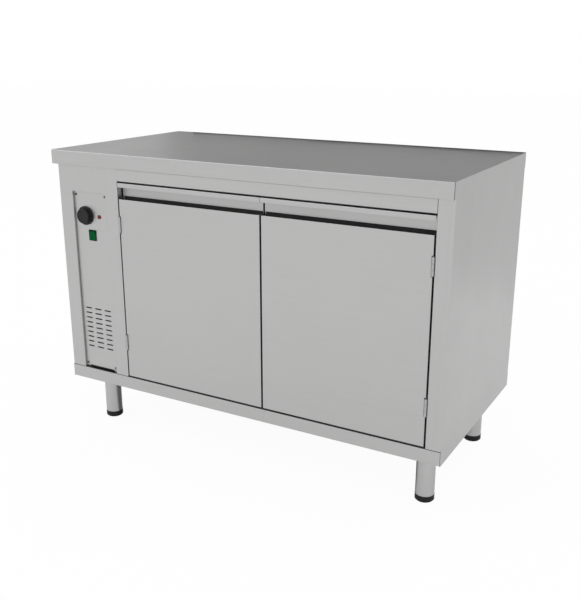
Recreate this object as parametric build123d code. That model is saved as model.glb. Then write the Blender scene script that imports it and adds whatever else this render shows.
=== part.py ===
"""Plate warmer cabinet: stainless sheet-metal body with two hinged doors, a fan-heated cavity,
a control bay on the left and four adjustable legs.

Units are millimetres. The origin is on the floor, in the middle of the worktop's outline.
+X runs to the right, +Y to the back and +Z up. The doors face -Y.
"""

from build123d import *

import math
import os

# Overall sizes
WIDTH = 1200.0
DEPTH = 600.0
HEIGHT = 845.0
LEG_HEIGHT = 153.0

# Sheet metal
SHEET = 1.0
WORKTOP_SHEET = 1.5
INNER_BEND = 1.5
CORNER_BEND = 3.0
ASSEMBLY_CLEARANCE = 0.2

# Worktop
LIP_HEIGHT = 40.0
LIP_RETURN = 14.0
LIP_EDGE_RADIUS = 2.0
CORE_GAP = 1.0
FRONT_OVERHANG = 6.0
BACK_OVERHANG = 10.0
LEFT_OVERHANG = 16.0
RIGHT_END_GAP = 1.2

# Front frame
LEFT_SURROUND = 216.0
RIGHT_STILE = 41.0
BOTTOM_RAIL = 39.0
TOP_RAIL = 35.0
RAIL_RETURN = 22.0
SIDE_BACK_RETURN = 15.0
STOP_WIDTH = 12.0
STOP_GAP = 2.0
BASE_UPTURN = 24.0

# Cavity and insulation
BACK_INSULATION = 38.0
PARTITION_INSULATION = 20.0
INSULATION_GAP = 1.0
WALL_STANDOFF = 2.5
LADDER_SLOT_WIDTH = 12.0
LADDER_SLOT_HEIGHT = 4.0
LADDER_SLOT_PITCH = 40.0
LADDER_SLOT_COUNT = 11
LADDER_INSET = 70.0
LADDER_FIRST_SLOT = 60.0

# Shelf
SHELF_SLOT_ROW = 5
SHELF_EDGE = 20.0
SHELF_SIDE_GAP = 3.0
SHELF_FRONT_GAP = 16.0
SHELF_BACK_GAP = 8.0
SHELF_SLOT_LENGTH = 80.0
SHELF_SLOT_WIDTH = 12.0
SHELF_SLOT_COLUMNS = 6
SHELF_SLOT_ROWS = 4
SHELF_SLOT_PITCH_X = 130.0
SHELF_SLOT_PITCH_Y = 90.0
CLIP_WIDTH = 26.0
CLIP_LEDGE = 12.0
CLIP_RISE = 30.0
CLIP_SHEET = 1.5
CLIP_TONGUE_WIDTH = 11.0
CLIP_HOOK_DROP = 8.0

# Doors
DOOR_THICKNESS = 35.0
HINGE_GAP = 4.0
MEETING_GAP = 5.0
DOOR_TOP_GAP = 4.0
DOOR_BOTTOM_GAP = 3.0
HEAD_HEIGHT = 45.0
HEAD_BAND = 12.0
HEAD_SHEET = 1.5
HEAD_OVERHANG = 1.75
HEAD_EDGE_RADIUS = 1.2
GRIP_DEPTH = 20.5
GRIP_PLATE_HEIGHT = 36.6
GRIP_HEM = 9.0
GRIP_HEM_RADIUS = 0.8
INNER_SKIN_RETURN = 12.0
DOOR_CORE_HEADROOM = 24.0
DOOR_CORE_RISER = 10.0

# Hinges
HINGE_HEIGHT = 45.0
KNUCKLE_RADIUS = 3.5
KNUCKLE_GAP = 0.4
PIN_RADIUS = 1.75
PIN_CLEARANCE = 0.05
PIN_PROUD = 1.5
LEAF_THICKNESS = 1.2
LEAF_DEPTH = 19.0
HINGE_AXIS_PROUD = 1.0
HINGE_NOTCH_GAP = 1.0
UPPER_HINGE_DROP = 72.5
LOWER_HINGE_RISE = 104.5

# Magnetic catches
CATCH_WIDTH = 46.0
CATCH_DEPTH = 14.0
CATCH_HEIGHT = 13.0
CATCH_OFFSET = 45.0
CATCH_AIR_GAP = 0.5

# Control recess and panel
RECESS_LEFT_MARGIN = 49.0
RECESS_WIDTH = 122.0
RECESS_TOP_DROP = 74.0
RECESS_DEPTH = 6.0
REBATE_WIDTH = 14.0
PANEL_EDGE_GAP = 0.75
PANEL_BOTTOM_GAP = 5.0
SCREW_SIDE_INSET = 7.0
SCREW_TOP_INSET = 10.0
SCREW_BOTTOM_INSET = 8.0

# Ventilation slots
VENT_LENGTH = 23.0
VENT_HEIGHT = 4.0
VENT_PITCH_X = 37.5
VENT_PITCH_Z = 15.0
VENT_COLUMNS = 3
VENT_ROWS = 9
VENT_CENTRE_DROP = 483.5

# Knob and thermostat
KNOB_OFFSET = -21.0
KNOB_DROP = 143.5
KNOB_RADIUS = 27.25
KNOB_FACE_RADIUS = 23.0
KNOB_HEIGHT = 15.0
KNOB_PANEL_GAP = 0.6
KNOB_RIM = 4.0
KNOB_SHOULDER = 0.6
KNOB_EDGE = 1.8
KNOB_HOLLOW_GAP = 1.0
SPINDLE_RADIUS = 3.0
SPINDLE_CLEARANCE = 0.05
SPINDLE_SEAT = 11.0
SPINDLE_INSERT = 12.0
THERMOSTAT_SIZE = 40.0
THERMOSTAT_DEPTH = 24.0
THERMOSTAT_BUSH_RADIUS = 5.0
THERMOSTAT_BUSH_PROUD = 2.0

# Pilot lamp
LAMP_OFFSET = 29.0
LAMP_RADIUS = 5.0
LAMP_BEZEL_RADIUS = 6.0
LAMP_BEZEL_HEIGHT = 1.5
LAMP_LENS_RADIUS = 4.4
LAMP_LENS_HEIGHT = 4.5
LAMP_BODY_LENGTH = 26.0
LAMP_LENS_EDGE = 1.2

# Power switch
SWITCH_DROP = 199.5
SWITCH_BEZEL_WIDTH = 26.0
SWITCH_BEZEL_HEIGHT = 31.5
SWITCH_BEZEL_DEPTH = 2.0
SWITCH_BODY_WIDTH = 24.0
SWITCH_BODY_HEIGHT = 29.5
SWITCH_BODY_DEPTH = 24.0
SWITCH_WALL = 1.0
ROCKER_GAP = 0.45
ROCKER_TILT = 8.0
ROCKER_BASE_DEPTH = 3.0
SWITCH_WELL_DEPTH = 12.0
ROCKER_PIVOT_DEPTH = 3.0
ROCKER_PIN_RADIUS = 1.5
ROCKER_PIN_CLEARANCE = 0.05
ROCKER_PIN_END_GAP = 0.2

# Fan, heaters and air guard
FAN_RISE = 130.0
FAN_Y = 0.0
FAN_OPENING_RADIUS = 50.0
MOTOR_PLATE_SIZE = 180.0
MOTOR_PLATE_SHEET = 2.0
MOTOR_RADIUS = 36.0
MOTOR_LENGTH = 58.0
MOTOR_EDGE = 3.0
MOTOR_BOSS_RADIUS = 12.0
SHAFT_RADIUS = 4.0
SHAFT_SEAT = 30.0
SHAFT_CLEARANCE = 0.05
IMPELLER_RADIUS = 55.0
IMPELLER_EYE_RADIUS = 34.0
IMPELLER_PLATE = 1.2
IMPELLER_BLADE_HEIGHT = 18.0
IMPELLER_BLADE_COUNT = 12
IMPELLER_BLADE_SHEET = 1.0
IMPELLER_BLADE_SWEEP = 28.0
IMPELLER_BLADE_BOW = 9.0
IMPELLER_HUB_RADIUS = 10.0
IMPELLER_WALL_GAP = 5.0
GUARD_SIZE = 240.0
GUARD_FLANGE = 13.0
GUARD_DEPTH = 36.0
GUARD_SLOT_LENGTH = 66.0
GUARD_SLOT_WIDTH = 6.0
GUARD_SLOT_PITCH = 16.0
GUARD_SLOT_ROWS = 9
GUARD_SLOT_COLUMNS = 2
GUARD_SIDE_SLOT_LENGTH = 20.0
HEATER_OFFSET = 75.0
HEATER_BAR_THICKNESS = 6.0
HEATER_BAR_WIDTH = 16.0
HEATER_LENGTH = 176.0
HEATER_FIN_DEPTH = 18.0
HEATER_FIN_WIDTH = 22.0
HEATER_FIN_SHEET = 0.8
HEATER_FIN_PITCH = 12.0
HEATER_FIN_COUNT = 12
HEATER_STANDOFF = 8.0
HEATER_TAB = 10.0

# Temperature sensor
SENSOR_RADIUS = 3.0
SENSOR_LENGTH = 90.0
CAPILLARY_RADIUS = 0.9
CAPILLARY_REACH = 145.0
SENSOR_STANDOFF = 8.0
SENSOR_LEAD = 16.0
SENSOR_DROP = 148.0
SENSOR_Y = -60.0

# Electrical connection
GLAND_X_INSET = 70.0
GLAND_RISE = 60.0
GLAND_BORE_RADIUS = 5.0
GLAND_THREAD_RADIUS = 10.0
GLAND_HEX_RADIUS = 13.5
GLAND_HEX_LENGTH = 8.0
GLAND_INNER_LENGTH = 14.0
LOCKNUT_THICKNESS = 4.0
TERMINAL_BACK_GAP = 84.0
TERMINAL_LENGTH = 60.0
TERMINAL_WIDTH = 24.0
TERMINAL_HEIGHT = 20.0
TERMINAL_WAYS = 5
TERMINAL_POCKET = 5.0
TERMINAL_POCKET_DEPTH = 10.0

# Screws
SCREW_HEAD_RADIUS = 3.6
SCREW_HEAD_HEIGHT = 1.6
BACK_SCREW_ROWS = 4
BACK_SCREW_INSET = 60.0

# Legs and feet
LEG_SIDE_INSET = 68.0
LEG_END_INSET = 93.3
LEG_RADIUS = 25.0
LEG_WALL = 1.5
LEG_PLATE_SIZE = 80.0
LEG_PLATE_THICKNESS = 3.0
LEG_BOLT_HEAD_RADIUS = 5.5
LEG_BOLT_HEAD_HEIGHT = 4.0
LEG_BOLT_INSET = 9.0
FOOT_HEIGHT = 14.0
FOOT_RADIUS = 25.5
FOOT_EDGE = 3.0
STUD_RADIUS = 5.0
STUD_CLEARANCE = 0.1
STUD_LENGTH = 52.0
BUSH_LENGTH = 22.0

# Body planes
BODY_LEFT = -WIDTH / 2 + LEFT_OVERHANG
BODY_RIGHT = WIDTH / 2
BODY_FRONT = -DEPTH / 2 + FRONT_OVERHANG
BODY_BACK = DEPTH / 2 - BACK_OVERHANG
BODY_BOTTOM = LEG_HEIGHT
WORKTOP_RIGHT = BODY_RIGHT - SHEET - RIGHT_END_GAP
LIP_BOTTOM = HEIGHT - LIP_HEIGHT
OUTER_BEND = INNER_BEND + SHEET
OUTER_CORNER = CORNER_BEND + SHEET

# Door opening
OPENING_LEFT = BODY_LEFT + LEFT_SURROUND
OPENING_RIGHT = BODY_RIGHT - RIGHT_STILE
OPENING_BOTTOM = BODY_BOTTOM + BOTTOM_RAIL
OPENING_TOP = LIP_BOTTOM - TOP_RAIL
STOP_FRONT = BODY_FRONT + DOOR_THICKNESS + STOP_GAP

# Heated cavity, inside its liner
CAVITY_LEFT = OPENING_LEFT + STOP_WIDTH
CAVITY_RIGHT = OPENING_RIGHT - STOP_WIDTH
CAVITY_BOTTOM = OPENING_BOTTOM + STOP_WIDTH
CAVITY_TOP = OPENING_TOP - STOP_WIDTH
CAVITY_FRONT = STOP_FRONT + SHEET
CAVITY_BACK = BODY_BACK - BACK_INSULATION - SHEET

# Doors
DOOR_WIDTH = (OPENING_RIGHT - OPENING_LEFT - 2 * HINGE_GAP - MEETING_GAP) / 2
DOOR_BOTTOM = OPENING_BOTTOM + DOOR_BOTTOM_GAP
DOOR_TOP = OPENING_TOP - DOOR_TOP_GAP
FACE_TOP = DOOR_TOP - HEAD_HEIGHT
DOOR_BACK = BODY_FRONT + DOOR_THICKNESS
GRIP_FRONT = BODY_FRONT + GRIP_DEPTH
MEETING_LINE = (OPENING_LEFT + OPENING_RIGHT) / 2
HINGE_AXIS_Y = BODY_FRONT - HINGE_AXIS_PROUD

# Control recess
RECESS_LEFT = BODY_LEFT + RECESS_LEFT_MARGIN
RECESS_RIGHT = RECESS_LEFT + RECESS_WIDTH
RECESS_CENTRE = (RECESS_LEFT + RECESS_RIGHT) / 2
RECESS_TOP = LIP_BOTTOM - RECESS_TOP_DROP
PANEL_FRONT = BODY_FRONT + RECESS_DEPTH
PANEL_BACK = PANEL_FRONT + SHEET
PANEL_BOTTOM = OPENING_BOTTOM + PANEL_BOTTOM_GAP
KNOB_X = RECESS_CENTRE + KNOB_OFFSET
KNOB_Z = LIP_BOTTOM - KNOB_DROP
LAMP_X = RECESS_CENTRE + LAMP_OFFSET
SWITCH_Z = LIP_BOTTOM - SWITCH_DROP
VENT_Z = LIP_BOTTOM - VENT_CENTRE_DROP

# Fan
FAN_Z = CAVITY_BOTTOM + FAN_RISE
PARTITION_BAY_FACE = CAVITY_LEFT - SHEET
MOTOR_PLATE_FACE = PARTITION_BAY_FACE - MOTOR_PLATE_SHEET

# Temperature sensor
SENSOR_Z = CAVITY_TOP - SENSOR_DROP

# Shelf
CLIP_SLOT_Z = CAVITY_BOTTOM + LADDER_FIRST_SLOT + SHELF_SLOT_ROW * LADDER_SLOT_PITCH
SHELF_REST = CLIP_SLOT_Z + CLIP_RISE
SHELF_TOP = SHELF_REST + SHELF_EDGE

# Cable entry
GLAND_X = BODY_LEFT + GLAND_X_INSET
GLAND_Z = BODY_BOTTOM + GLAND_RISE
BACK_PANEL_FACE = BODY_BACK + SHEET

# Legs
LEG_LEFT = BODY_LEFT + LEG_SIDE_INSET
LEG_RIGHT = BODY_RIGHT - LEG_SIDE_INSET
LEG_FRONT = BODY_FRONT + LEG_END_INSET
LEG_REAR = BODY_BACK - LEG_END_INSET
LEG_PLACES = {
    "front_left": (LEG_LEFT, LEG_FRONT),
    "front_right": (LEG_RIGHT, LEG_FRONT),
    "rear_left": (LEG_LEFT, LEG_REAR),
    "rear_right": (LEG_RIGHT, LEG_REAR),
}


def block(x0, x1, y0, y1, z0, z1):
    """Rectangular solid between two corners."""
    centre = Pos((x0 + x1) / 2, (y0 + y1) / 2, (z0 + z1) / 2)
    return centre * Box(abs(x1 - x0), abs(y1 - y0), abs(z1 - z0))


def folded_face(points, radii, side, thickness=SHEET):
    """Section of a folded sheet: a line of outer-face points, thickened to one side."""
    path = FilletPolyline(*points, radius=radii)
    outline = Wire(path.edges()).offset_2d(thickness, side=side)
    return make_face(outline.edges())


def run_along_x(face, x0, x1):
    """A section drawn in Y and Z, run from x0 to x1."""
    return Pos(x0, 0, 0) * extrude(Plane.YZ * face, x1 - x0)


def run_along_y(face, y0, y1):
    """A section drawn in X and Z, run from y0 to y1."""
    return Pos(0, y1, 0) * extrude(Plane.XZ * face, y1 - y0)


def run_along_z(face, z0, z1):
    """A section drawn in X and Y, run from z0 to z1."""
    return Pos(0, 0, z0) * extrude(face, z1 - z0)


def rod_x(radius, x0, x1, y, z):
    """Round bar along X."""
    return run_along_x(Pos(y, z) * Circle(radius), x0, x1)


def rod_y(radius, y0, y1, x, z):
    """Round bar along Y."""
    return run_along_y(Pos(x, z) * Circle(radius), y0, y1)


def rod_z(radius, z0, z1, x, y):
    """Round bar along Z."""
    return run_along_z(Pos(x, y) * Circle(radius), z0, z1)


def turned_y(points, x, z):
    """Solid turned about a line along Y; points are (radius, y)."""
    profile = make_face(Polyline(*points, close=True))
    return Pos(x, 0, z) * revolve(profile, Axis.Y)


def mirrored(part):
    """The same piece for the other door, reflected about the line where the doors meet."""
    return mirror(part, Plane.YZ.offset(MEETING_LINE))


# ---------------------------------------------------------------- worktop

def worktop_skin():
    """Folded worktop with front, left, back and end lips and a return under each lip."""
    right = WORKTOP_RIGHT
    left = -WIDTH / 2
    front = -DEPTH / 2
    back = DEPTH / 2
    skin = block(left, right, front, back, LIP_BOTTOM, HEIGHT)
    outer_edges = (
        skin.edges().filter_by(Axis.X).group_by(Axis.Z)[-1]
        + skin.edges().filter_by(Axis.Y).group_by(Axis.Z)[-1].sort_by(Axis.X)[:1]
        + skin.edges().filter_by(Axis.Z).sort_by(Axis.X)[:2]
    )
    skin = fillet(outer_edges, LIP_EDGE_RADIUS)
    wall = WORKTOP_SHEET
    hollow = block(
        left + wall, right - wall, front + wall, back - wall, LIP_BOTTOM + wall, HEIGHT - wall
    )
    mouth = block(
        left + LIP_RETURN,
        right - LIP_RETURN,
        front + LIP_RETURN,
        back - LIP_RETURN,
        LIP_BOTTOM,
        LIP_BOTTOM + wall,
    )
    return skin - hollow - mouth


def worktop_core():
    """Sound-deadening board that fills the folded worktop and carries its load."""
    wall = WORKTOP_SHEET + CORE_GAP
    return block(
        -WIDTH / 2 + wall,
        WORKTOP_RIGHT - wall,
        -DEPTH / 2 + wall,
        DEPTH / 2 - wall,
        LIP_BOTTOM + WORKTOP_SHEET,
        HEIGHT - WORKTOP_SHEET,
    )


# ---------------------------------------------------------------- body panels

def side_section(outer_x, opening_x, stop_x, inward):
    """Plan section of a side panel: back return, side, front, door jamb and door stop."""
    points = [
        (outer_x + inward * SIDE_BACK_RETURN, BODY_BACK),
        (outer_x, BODY_BACK),
        (outer_x, BODY_FRONT),
        (opening_x, BODY_FRONT),
        (opening_x, STOP_FRONT),
        (stop_x, STOP_FRONT),
    ]
    radii = [OUTER_BEND, OUTER_CORNER, OUTER_BEND, OUTER_BEND]
    side = Side.LEFT if inward > 0 else Side.RIGHT
    return folded_face(points, radii, side)


def stop_corner_cuts(opening_x, stop_x):
    """Notches that leave the corners of the door stop to the rails."""
    front = STOP_FRONT - OUTER_BEND
    back = STOP_FRONT + SHEET
    below = block(opening_x, stop_x, front, back, OPENING_BOTTOM, CAVITY_BOTTOM)
    above = block(opening_x, stop_x, front, back, CAVITY_TOP, LIP_BOTTOM)
    return below + above


def back_screw_heights():
    """Heights of the screws that hold the back panel."""
    low = BODY_BOTTOM + BACK_SCREW_INSET
    pitch = (LIP_BOTTOM - BACK_SCREW_INSET - low) / (BACK_SCREW_ROWS - 1)
    return [low + row * pitch for row in range(BACK_SCREW_ROWS)]


def back_screw_places():
    """Places of the back panel's screws, in the middle of the side panels' back returns."""
    left = BODY_LEFT + SIDE_BACK_RETURN / 2
    right = BODY_RIGHT - SIDE_BACK_RETURN / 2
    return [(x, z) for x in (left, right) for z in back_screw_heights()]


def panel_screw_places():
    """Places of the control panel's four screws."""
    left = RECESS_LEFT + SCREW_SIDE_INSET
    right = RECESS_RIGHT - SCREW_SIDE_INSET
    top = RECESS_TOP - SCREW_TOP_INSET
    bottom = PANEL_BOTTOM + SCREW_BOTTOM_INSET
    return [(x, z) for x in (left, right) for z in (bottom, top)]


def recess_frame():
    """Walls and screw rebate of the control recess, open at the bottom."""
    back = PANEL_BACK + SHEET
    walls = block(
        RECESS_LEFT - SHEET,
        RECESS_RIGHT + SHEET,
        BODY_FRONT,
        back,
        OPENING_BOTTOM,
        RECESS_TOP + SHEET,
    )
    walls -= block(RECESS_LEFT, RECESS_RIGHT, BODY_FRONT, PANEL_BACK, OPENING_BOTTOM, RECESS_TOP)
    walls -= block(
        RECESS_LEFT + REBATE_WIDTH,
        RECESS_RIGHT - REBATE_WIDTH,
        PANEL_BACK,
        back,
        OPENING_BOTTOM,
        RECESS_TOP - REBATE_WIDTH,
    )
    return walls


def left_side_panel():
    """Left side, wide left front with the control recess, left jamb and stop, in one sheet."""
    section = side_section(BODY_LEFT, OPENING_LEFT, CAVITY_LEFT, 1)
    panel = run_along_z(section, OPENING_BOTTOM, LIP_BOTTOM)
    panel -= stop_corner_cuts(OPENING_LEFT, CAVITY_LEFT)
    panel += block(
        BODY_LEFT, BODY_LEFT + SHEET, BODY_FRONT, BODY_BACK, BODY_BOTTOM, OPENING_BOTTOM
    )
    panel -= block(
        RECESS_LEFT, RECESS_RIGHT, BODY_FRONT, BODY_FRONT + SHEET, OPENING_BOTTOM, RECESS_TOP
    )
    return panel + recess_frame()


def right_side_panel():
    """Right side up to the worktop's surface, with the right stile, jamb and stop."""
    section = side_section(BODY_RIGHT, OPENING_RIGHT, CAVITY_RIGHT, -1)
    panel = run_along_z(section, OPENING_BOTTOM, LIP_BOTTOM)
    panel -= stop_corner_cuts(OPENING_RIGHT, CAVITY_RIGHT)
    inner = BODY_RIGHT - SHEET
    panel += block(inner, BODY_RIGHT, BODY_FRONT, BODY_BACK, BODY_BOTTOM, OPENING_BOTTOM)
    return panel + block(inner, BODY_RIGHT, -DEPTH / 2, BODY_BACK, LIP_BOTTOM, HEIGHT)


def top_rail():
    """Rail between the stiles: top return, face, jamb and the stop behind the doors' tops."""
    points = [
        (BODY_FRONT + RAIL_RETURN, LIP_BOTTOM),
        (BODY_FRONT, LIP_BOTTOM),
        (BODY_FRONT, OPENING_TOP),
        (STOP_FRONT, OPENING_TOP),
        (STOP_FRONT, CAVITY_TOP),
    ]
    section = folded_face(points, OUTER_BEND, Side.LEFT)
    return run_along_x(section, OPENING_LEFT, OPENING_RIGHT)


def bottom_rail():
    """Full-width rail under the stiles and doors, with the doors' lower stop."""
    points = [
        (BODY_FRONT + RAIL_RETURN, BODY_BOTTOM),
        (BODY_FRONT, BODY_BOTTOM),
        (BODY_FRONT, OPENING_BOTTOM),
        (STOP_FRONT, OPENING_BOTTOM),
        (STOP_FRONT, CAVITY_BOTTOM),
    ]
    section = folded_face(points, OUTER_BEND, Side.RIGHT)
    left = BODY_LEFT + SHEET
    right = BODY_RIGHT - SHEET
    rail = run_along_x(section, left, right)
    behind_stop = STOP_FRONT + SHEET
    for x0, x1 in ((left, OPENING_LEFT), (OPENING_RIGHT, right)):
        rail -= block(x0, x1, BODY_FRONT, behind_stop, OPENING_BOTTOM, CAVITY_BOTTOM)
        rail -= block(x0, x1, STOP_FRONT - OUTER_BEND, behind_stop, BODY_BOTTOM, OPENING_BOTTOM)
    rail -= block(
        RECESS_LEFT,
        RECESS_RIGHT,
        BODY_FRONT + OUTER_BEND,
        behind_stop,
        OPENING_BOTTOM - SHEET,
        OPENING_BOTTOM,
    )
    return rail


def leg_bolt_places():
    """Places of the sixteen bolts that hold the legs' plates."""
    reach = LEG_PLATE_SIZE / 2 - LEG_BOLT_INSET
    return [
        (x + side * reach, y + end * reach)
        for x, y in LEG_PLACES.values()
        for side in (-1, 1)
        for end in (-1, 1)
    ]


def base_pan():
    """Bottom of the body, turned up along both sides."""
    left = BODY_LEFT + SHEET
    right = BODY_RIGHT - SHEET
    points = [
        (left, BODY_BOTTOM + BASE_UPTURN),
        (left, BODY_BOTTOM),
        (right, BODY_BOTTOM),
        (right, BODY_BOTTOM + BASE_UPTURN),
    ]
    section = folded_face(points, OUTER_BEND, Side.LEFT)
    return run_along_y(section, BODY_FRONT + RAIL_RETURN, BODY_BACK - SHEET)


def back_panel():
    """Back cover, lapped over the side panels' returns, with the cable entry."""
    inset = SHEET * 2
    panel = block(
        BODY_LEFT + inset,
        BODY_RIGHT - inset,
        BODY_BACK,
        BACK_PANEL_FACE,
        BODY_BOTTOM + SHEET,
        LIP_BOTTOM - SHEET,
    )
    return panel - rod_y(GLAND_THREAD_RADIUS, BODY_BACK, BACK_PANEL_FACE, GLAND_X, GLAND_Z)


# ---------------------------------------------------------------- heated cavity

def ladder_places():
    """Places (y, z) of the slots that take the shelf clips, on either cavity wall."""
    first = CAVITY_BOTTOM + LADDER_FIRST_SLOT
    heights = [first + step * LADDER_SLOT_PITCH for step in range(LADDER_SLOT_COUNT)]
    return [
        (y, z) for y in (CAVITY_FRONT + LADDER_INSET, CAVITY_BACK - LADDER_INSET) for z in heights
    ]


def cavity_wall(x0):
    """One side wall of the cavity with its two ladders of slots."""
    wall = block(
        x0, x0 + SHEET, CAVITY_FRONT, CAVITY_BACK, CAVITY_BOTTOM - SHEET, CAVITY_TOP + SHEET
    )
    half_width = LADDER_SLOT_WIDTH / 2
    half_height = LADDER_SLOT_HEIGHT / 2
    for y, z in ladder_places():
        wall -= block(
            x0, x0 + SHEET, y - half_width, y + half_width, z - half_height, z + half_height
        )
    return wall


def liner_right_wall():
    """Right wall of the heated cavity."""
    return cavity_wall(CAVITY_RIGHT)


def guard_screw_places():
    """Places (y, z) of the four screws that hold the air guard's flange."""
    reach = (GUARD_SIZE - GUARD_FLANGE) / 2
    return [(FAN_Y + side * reach, FAN_Z + end * reach) for side in (-1, 1) for end in (-1, 1)]


def partition_wall():
    """Wall between the cavity and the control bay, with the fan and sensor openings."""
    wall = cavity_wall(PARTITION_BAY_FACE)
    wall -= rod_x(FAN_OPENING_RADIUS, PARTITION_BAY_FACE, CAVITY_LEFT, FAN_Y, FAN_Z)
    sensor_hole = CAPILLARY_RADIUS + ASSEMBLY_CLEARANCE
    return wall - rod_x(sensor_hole, PARTITION_BAY_FACE, CAVITY_LEFT, SENSOR_Y, SENSOR_Z)


def liner_floor():
    """Floor of the heated cavity."""
    return block(
        CAVITY_LEFT, CAVITY_RIGHT, CAVITY_FRONT, CAVITY_BACK, CAVITY_BOTTOM - SHEET, CAVITY_BOTTOM
    )


def liner_ceiling():
    """Ceiling of the heated cavity."""
    return block(
        CAVITY_LEFT, CAVITY_RIGHT, CAVITY_FRONT, CAVITY_BACK, CAVITY_TOP, CAVITY_TOP + SHEET
    )


def liner_back():
    """Back wall of the heated cavity."""
    return block(
        PARTITION_BAY_FACE,
        CAVITY_RIGHT + SHEET,
        CAVITY_BACK,
        CAVITY_BACK + SHEET,
        CAVITY_BOTTOM - SHEET,
        CAVITY_TOP + SHEET,
    )


def cavity_insulation():
    """Mineral wool slabs round the cavity: above, below, behind, right and on the partition."""
    floor = BODY_BOTTOM + SHEET
    top = LIP_BOTTOM - INSULATION_GAP
    low = CAVITY_BOTTOM - SHEET
    high = CAVITY_TOP + SHEET
    left = PARTITION_BAY_FACE
    right = CAVITY_RIGHT + SHEET
    front = CAVITY_FRONT + INSULATION_GAP
    rear = CAVITY_BACK + SHEET
    over = block(left, right, front, rear, high, top)
    under = block(left, right, front, rear, floor, low)
    behind = block(left, right, rear, BODY_BACK, floor, top)
    beside = block(
        right + WALL_STANDOFF,
        BODY_RIGHT - SHEET,
        front,
        rear,
        BODY_BOTTOM + BASE_UPTURN,
        top,
    )
    bay_face = left - WALL_STANDOFF
    bay_back = bay_face - PARTITION_INSULATION
    window = GUARD_SIZE / 2 + INSULATION_GAP
    partition = block(bay_back, bay_face, front, rear, floor, high)
    partition -= block(
        bay_back, bay_face, FAN_Y - window, FAN_Y + window, FAN_Z - window, FAN_Z + window
    )
    partition -= rod_x(SENSOR_RADIUS, bay_back, bay_face, SENSOR_Y, SENSOR_Z)
    return Compound(children=[over, under, behind, beside, partition])


def shelf():
    """Slotted shelf with its four edges turned down."""
    left = CAVITY_LEFT + SHELF_SIDE_GAP
    right = CAVITY_RIGHT - SHELF_SIDE_GAP
    front = CAVITY_FRONT + SHELF_FRONT_GAP
    back = CAVITY_BACK - SHELF_BACK_GAP
    plate = block(left, right, front, back, SHELF_REST, SHELF_TOP)
    plate = fillet(plate.edges().filter_by(Axis.X).group_by(Axis.Z)[-1], OUTER_BEND)
    plate -= block(
        left + SHEET, right - SHEET, front + SHEET, back - SHEET, SHELF_REST, SHELF_TOP - SHEET
    )
    slots = Sketch() + [
        place * Rectangle(SHELF_SLOT_LENGTH, SHELF_SLOT_WIDTH)
        for place in GridLocations(
            SHELF_SLOT_PITCH_X, SHELF_SLOT_PITCH_Y, SHELF_SLOT_COLUMNS, SHELF_SLOT_ROWS
        )
    ]
    centre = Pos((left + right) / 2, (front + back) / 2)
    return plate - run_along_z(centre * slots, SHELF_TOP - SHEET, SHELF_TOP)


def shelf_clip(wall_x, inward, y):
    """Folded clip hooked through one ladder slot, with a ledge for the shelf's edge."""
    face = wall_x + inward * CLIP_SHEET
    behind = wall_x - inward * SHEET
    slot_bottom = CLIP_SLOT_Z - LADDER_SLOT_HEIGHT / 2
    tongue_top = slot_bottom + CLIP_SHEET
    low_y = y - CLIP_WIDTH / 2
    high_y = y + CLIP_WIDTH / 2
    tongue_low_y = y - CLIP_TONGUE_WIDTH / 2
    tongue_high_y = y + CLIP_TONGUE_WIDTH / 2
    hook_back = behind - inward * CLIP_SHEET
    clip = block(wall_x, face, low_y, high_y, slot_bottom, SHELF_REST)
    clip += block(
        face, wall_x + inward * CLIP_LEDGE, low_y, high_y, SHELF_REST - CLIP_SHEET, SHELF_REST
    )
    clip += block(hook_back, wall_x, tongue_low_y, tongue_high_y, slot_bottom, tongue_top)
    clip += block(
        hook_back, behind, tongue_low_y, tongue_high_y, slot_bottom - CLIP_HOOK_DROP, slot_bottom
    )
    return clip


def shelf_clips():
    """Four clips, two on each cavity wall."""
    places = (CAVITY_FRONT + LADDER_INSET, CAVITY_BACK - LADDER_INSET)
    clips = [shelf_clip(CAVITY_LEFT, 1, y) for y in places]
    clips += [shelf_clip(CAVITY_RIGHT, -1, y) for y in places]
    return Compound(children=clips)


def magnetic_catches():
    """One magnet housing for each door, under the front edge of the cavity's ceiling."""
    front = DOOR_BACK + CATCH_AIR_GAP
    catches = []
    for side in (-1, 1):
        x = MEETING_LINE + side * CATCH_OFFSET
        catch = block(
            x - CATCH_WIDTH / 2,
            x + CATCH_WIDTH / 2,
            front,
            front + CATCH_DEPTH,
            CAVITY_TOP - CATCH_HEIGHT,
            CAVITY_TOP,
        )
        catches.append(catch)
    return Compound(children=catches)


# ---------------------------------------------------------------- doors, drawn as the left door

def hinge_centres():
    """Heights of the two hinges of a door."""
    return (DOOR_BOTTOM + LOWER_HINGE_RISE, FACE_TOP - UPPER_HINGE_DROP)


def hinge_axis_x():
    """X of the left door's hinge axis, tangent to the jamb."""
    return OPENING_LEFT + KNUCKLE_RADIUS


def door_left():
    """Left edge of the left door's face."""
    return OPENING_LEFT + HINGE_GAP


def door_right():
    """Right edge of the left door's face, next to the other door."""
    return door_left() + DOOR_WIDTH


def hinge_notch(z):
    """Space cut from a door's edge so that it clears the hinge barrel as it turns."""
    reach = KNUCKLE_RADIUS + HINGE_NOTCH_GAP
    half = HINGE_HEIGHT / 2 + HINGE_NOTCH_GAP + PIN_PROUD
    x = hinge_axis_x()
    return block(x - reach, x + reach, HINGE_AXIS_Y - reach, HINGE_AXIS_Y + reach, z - half, z + half)


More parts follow.
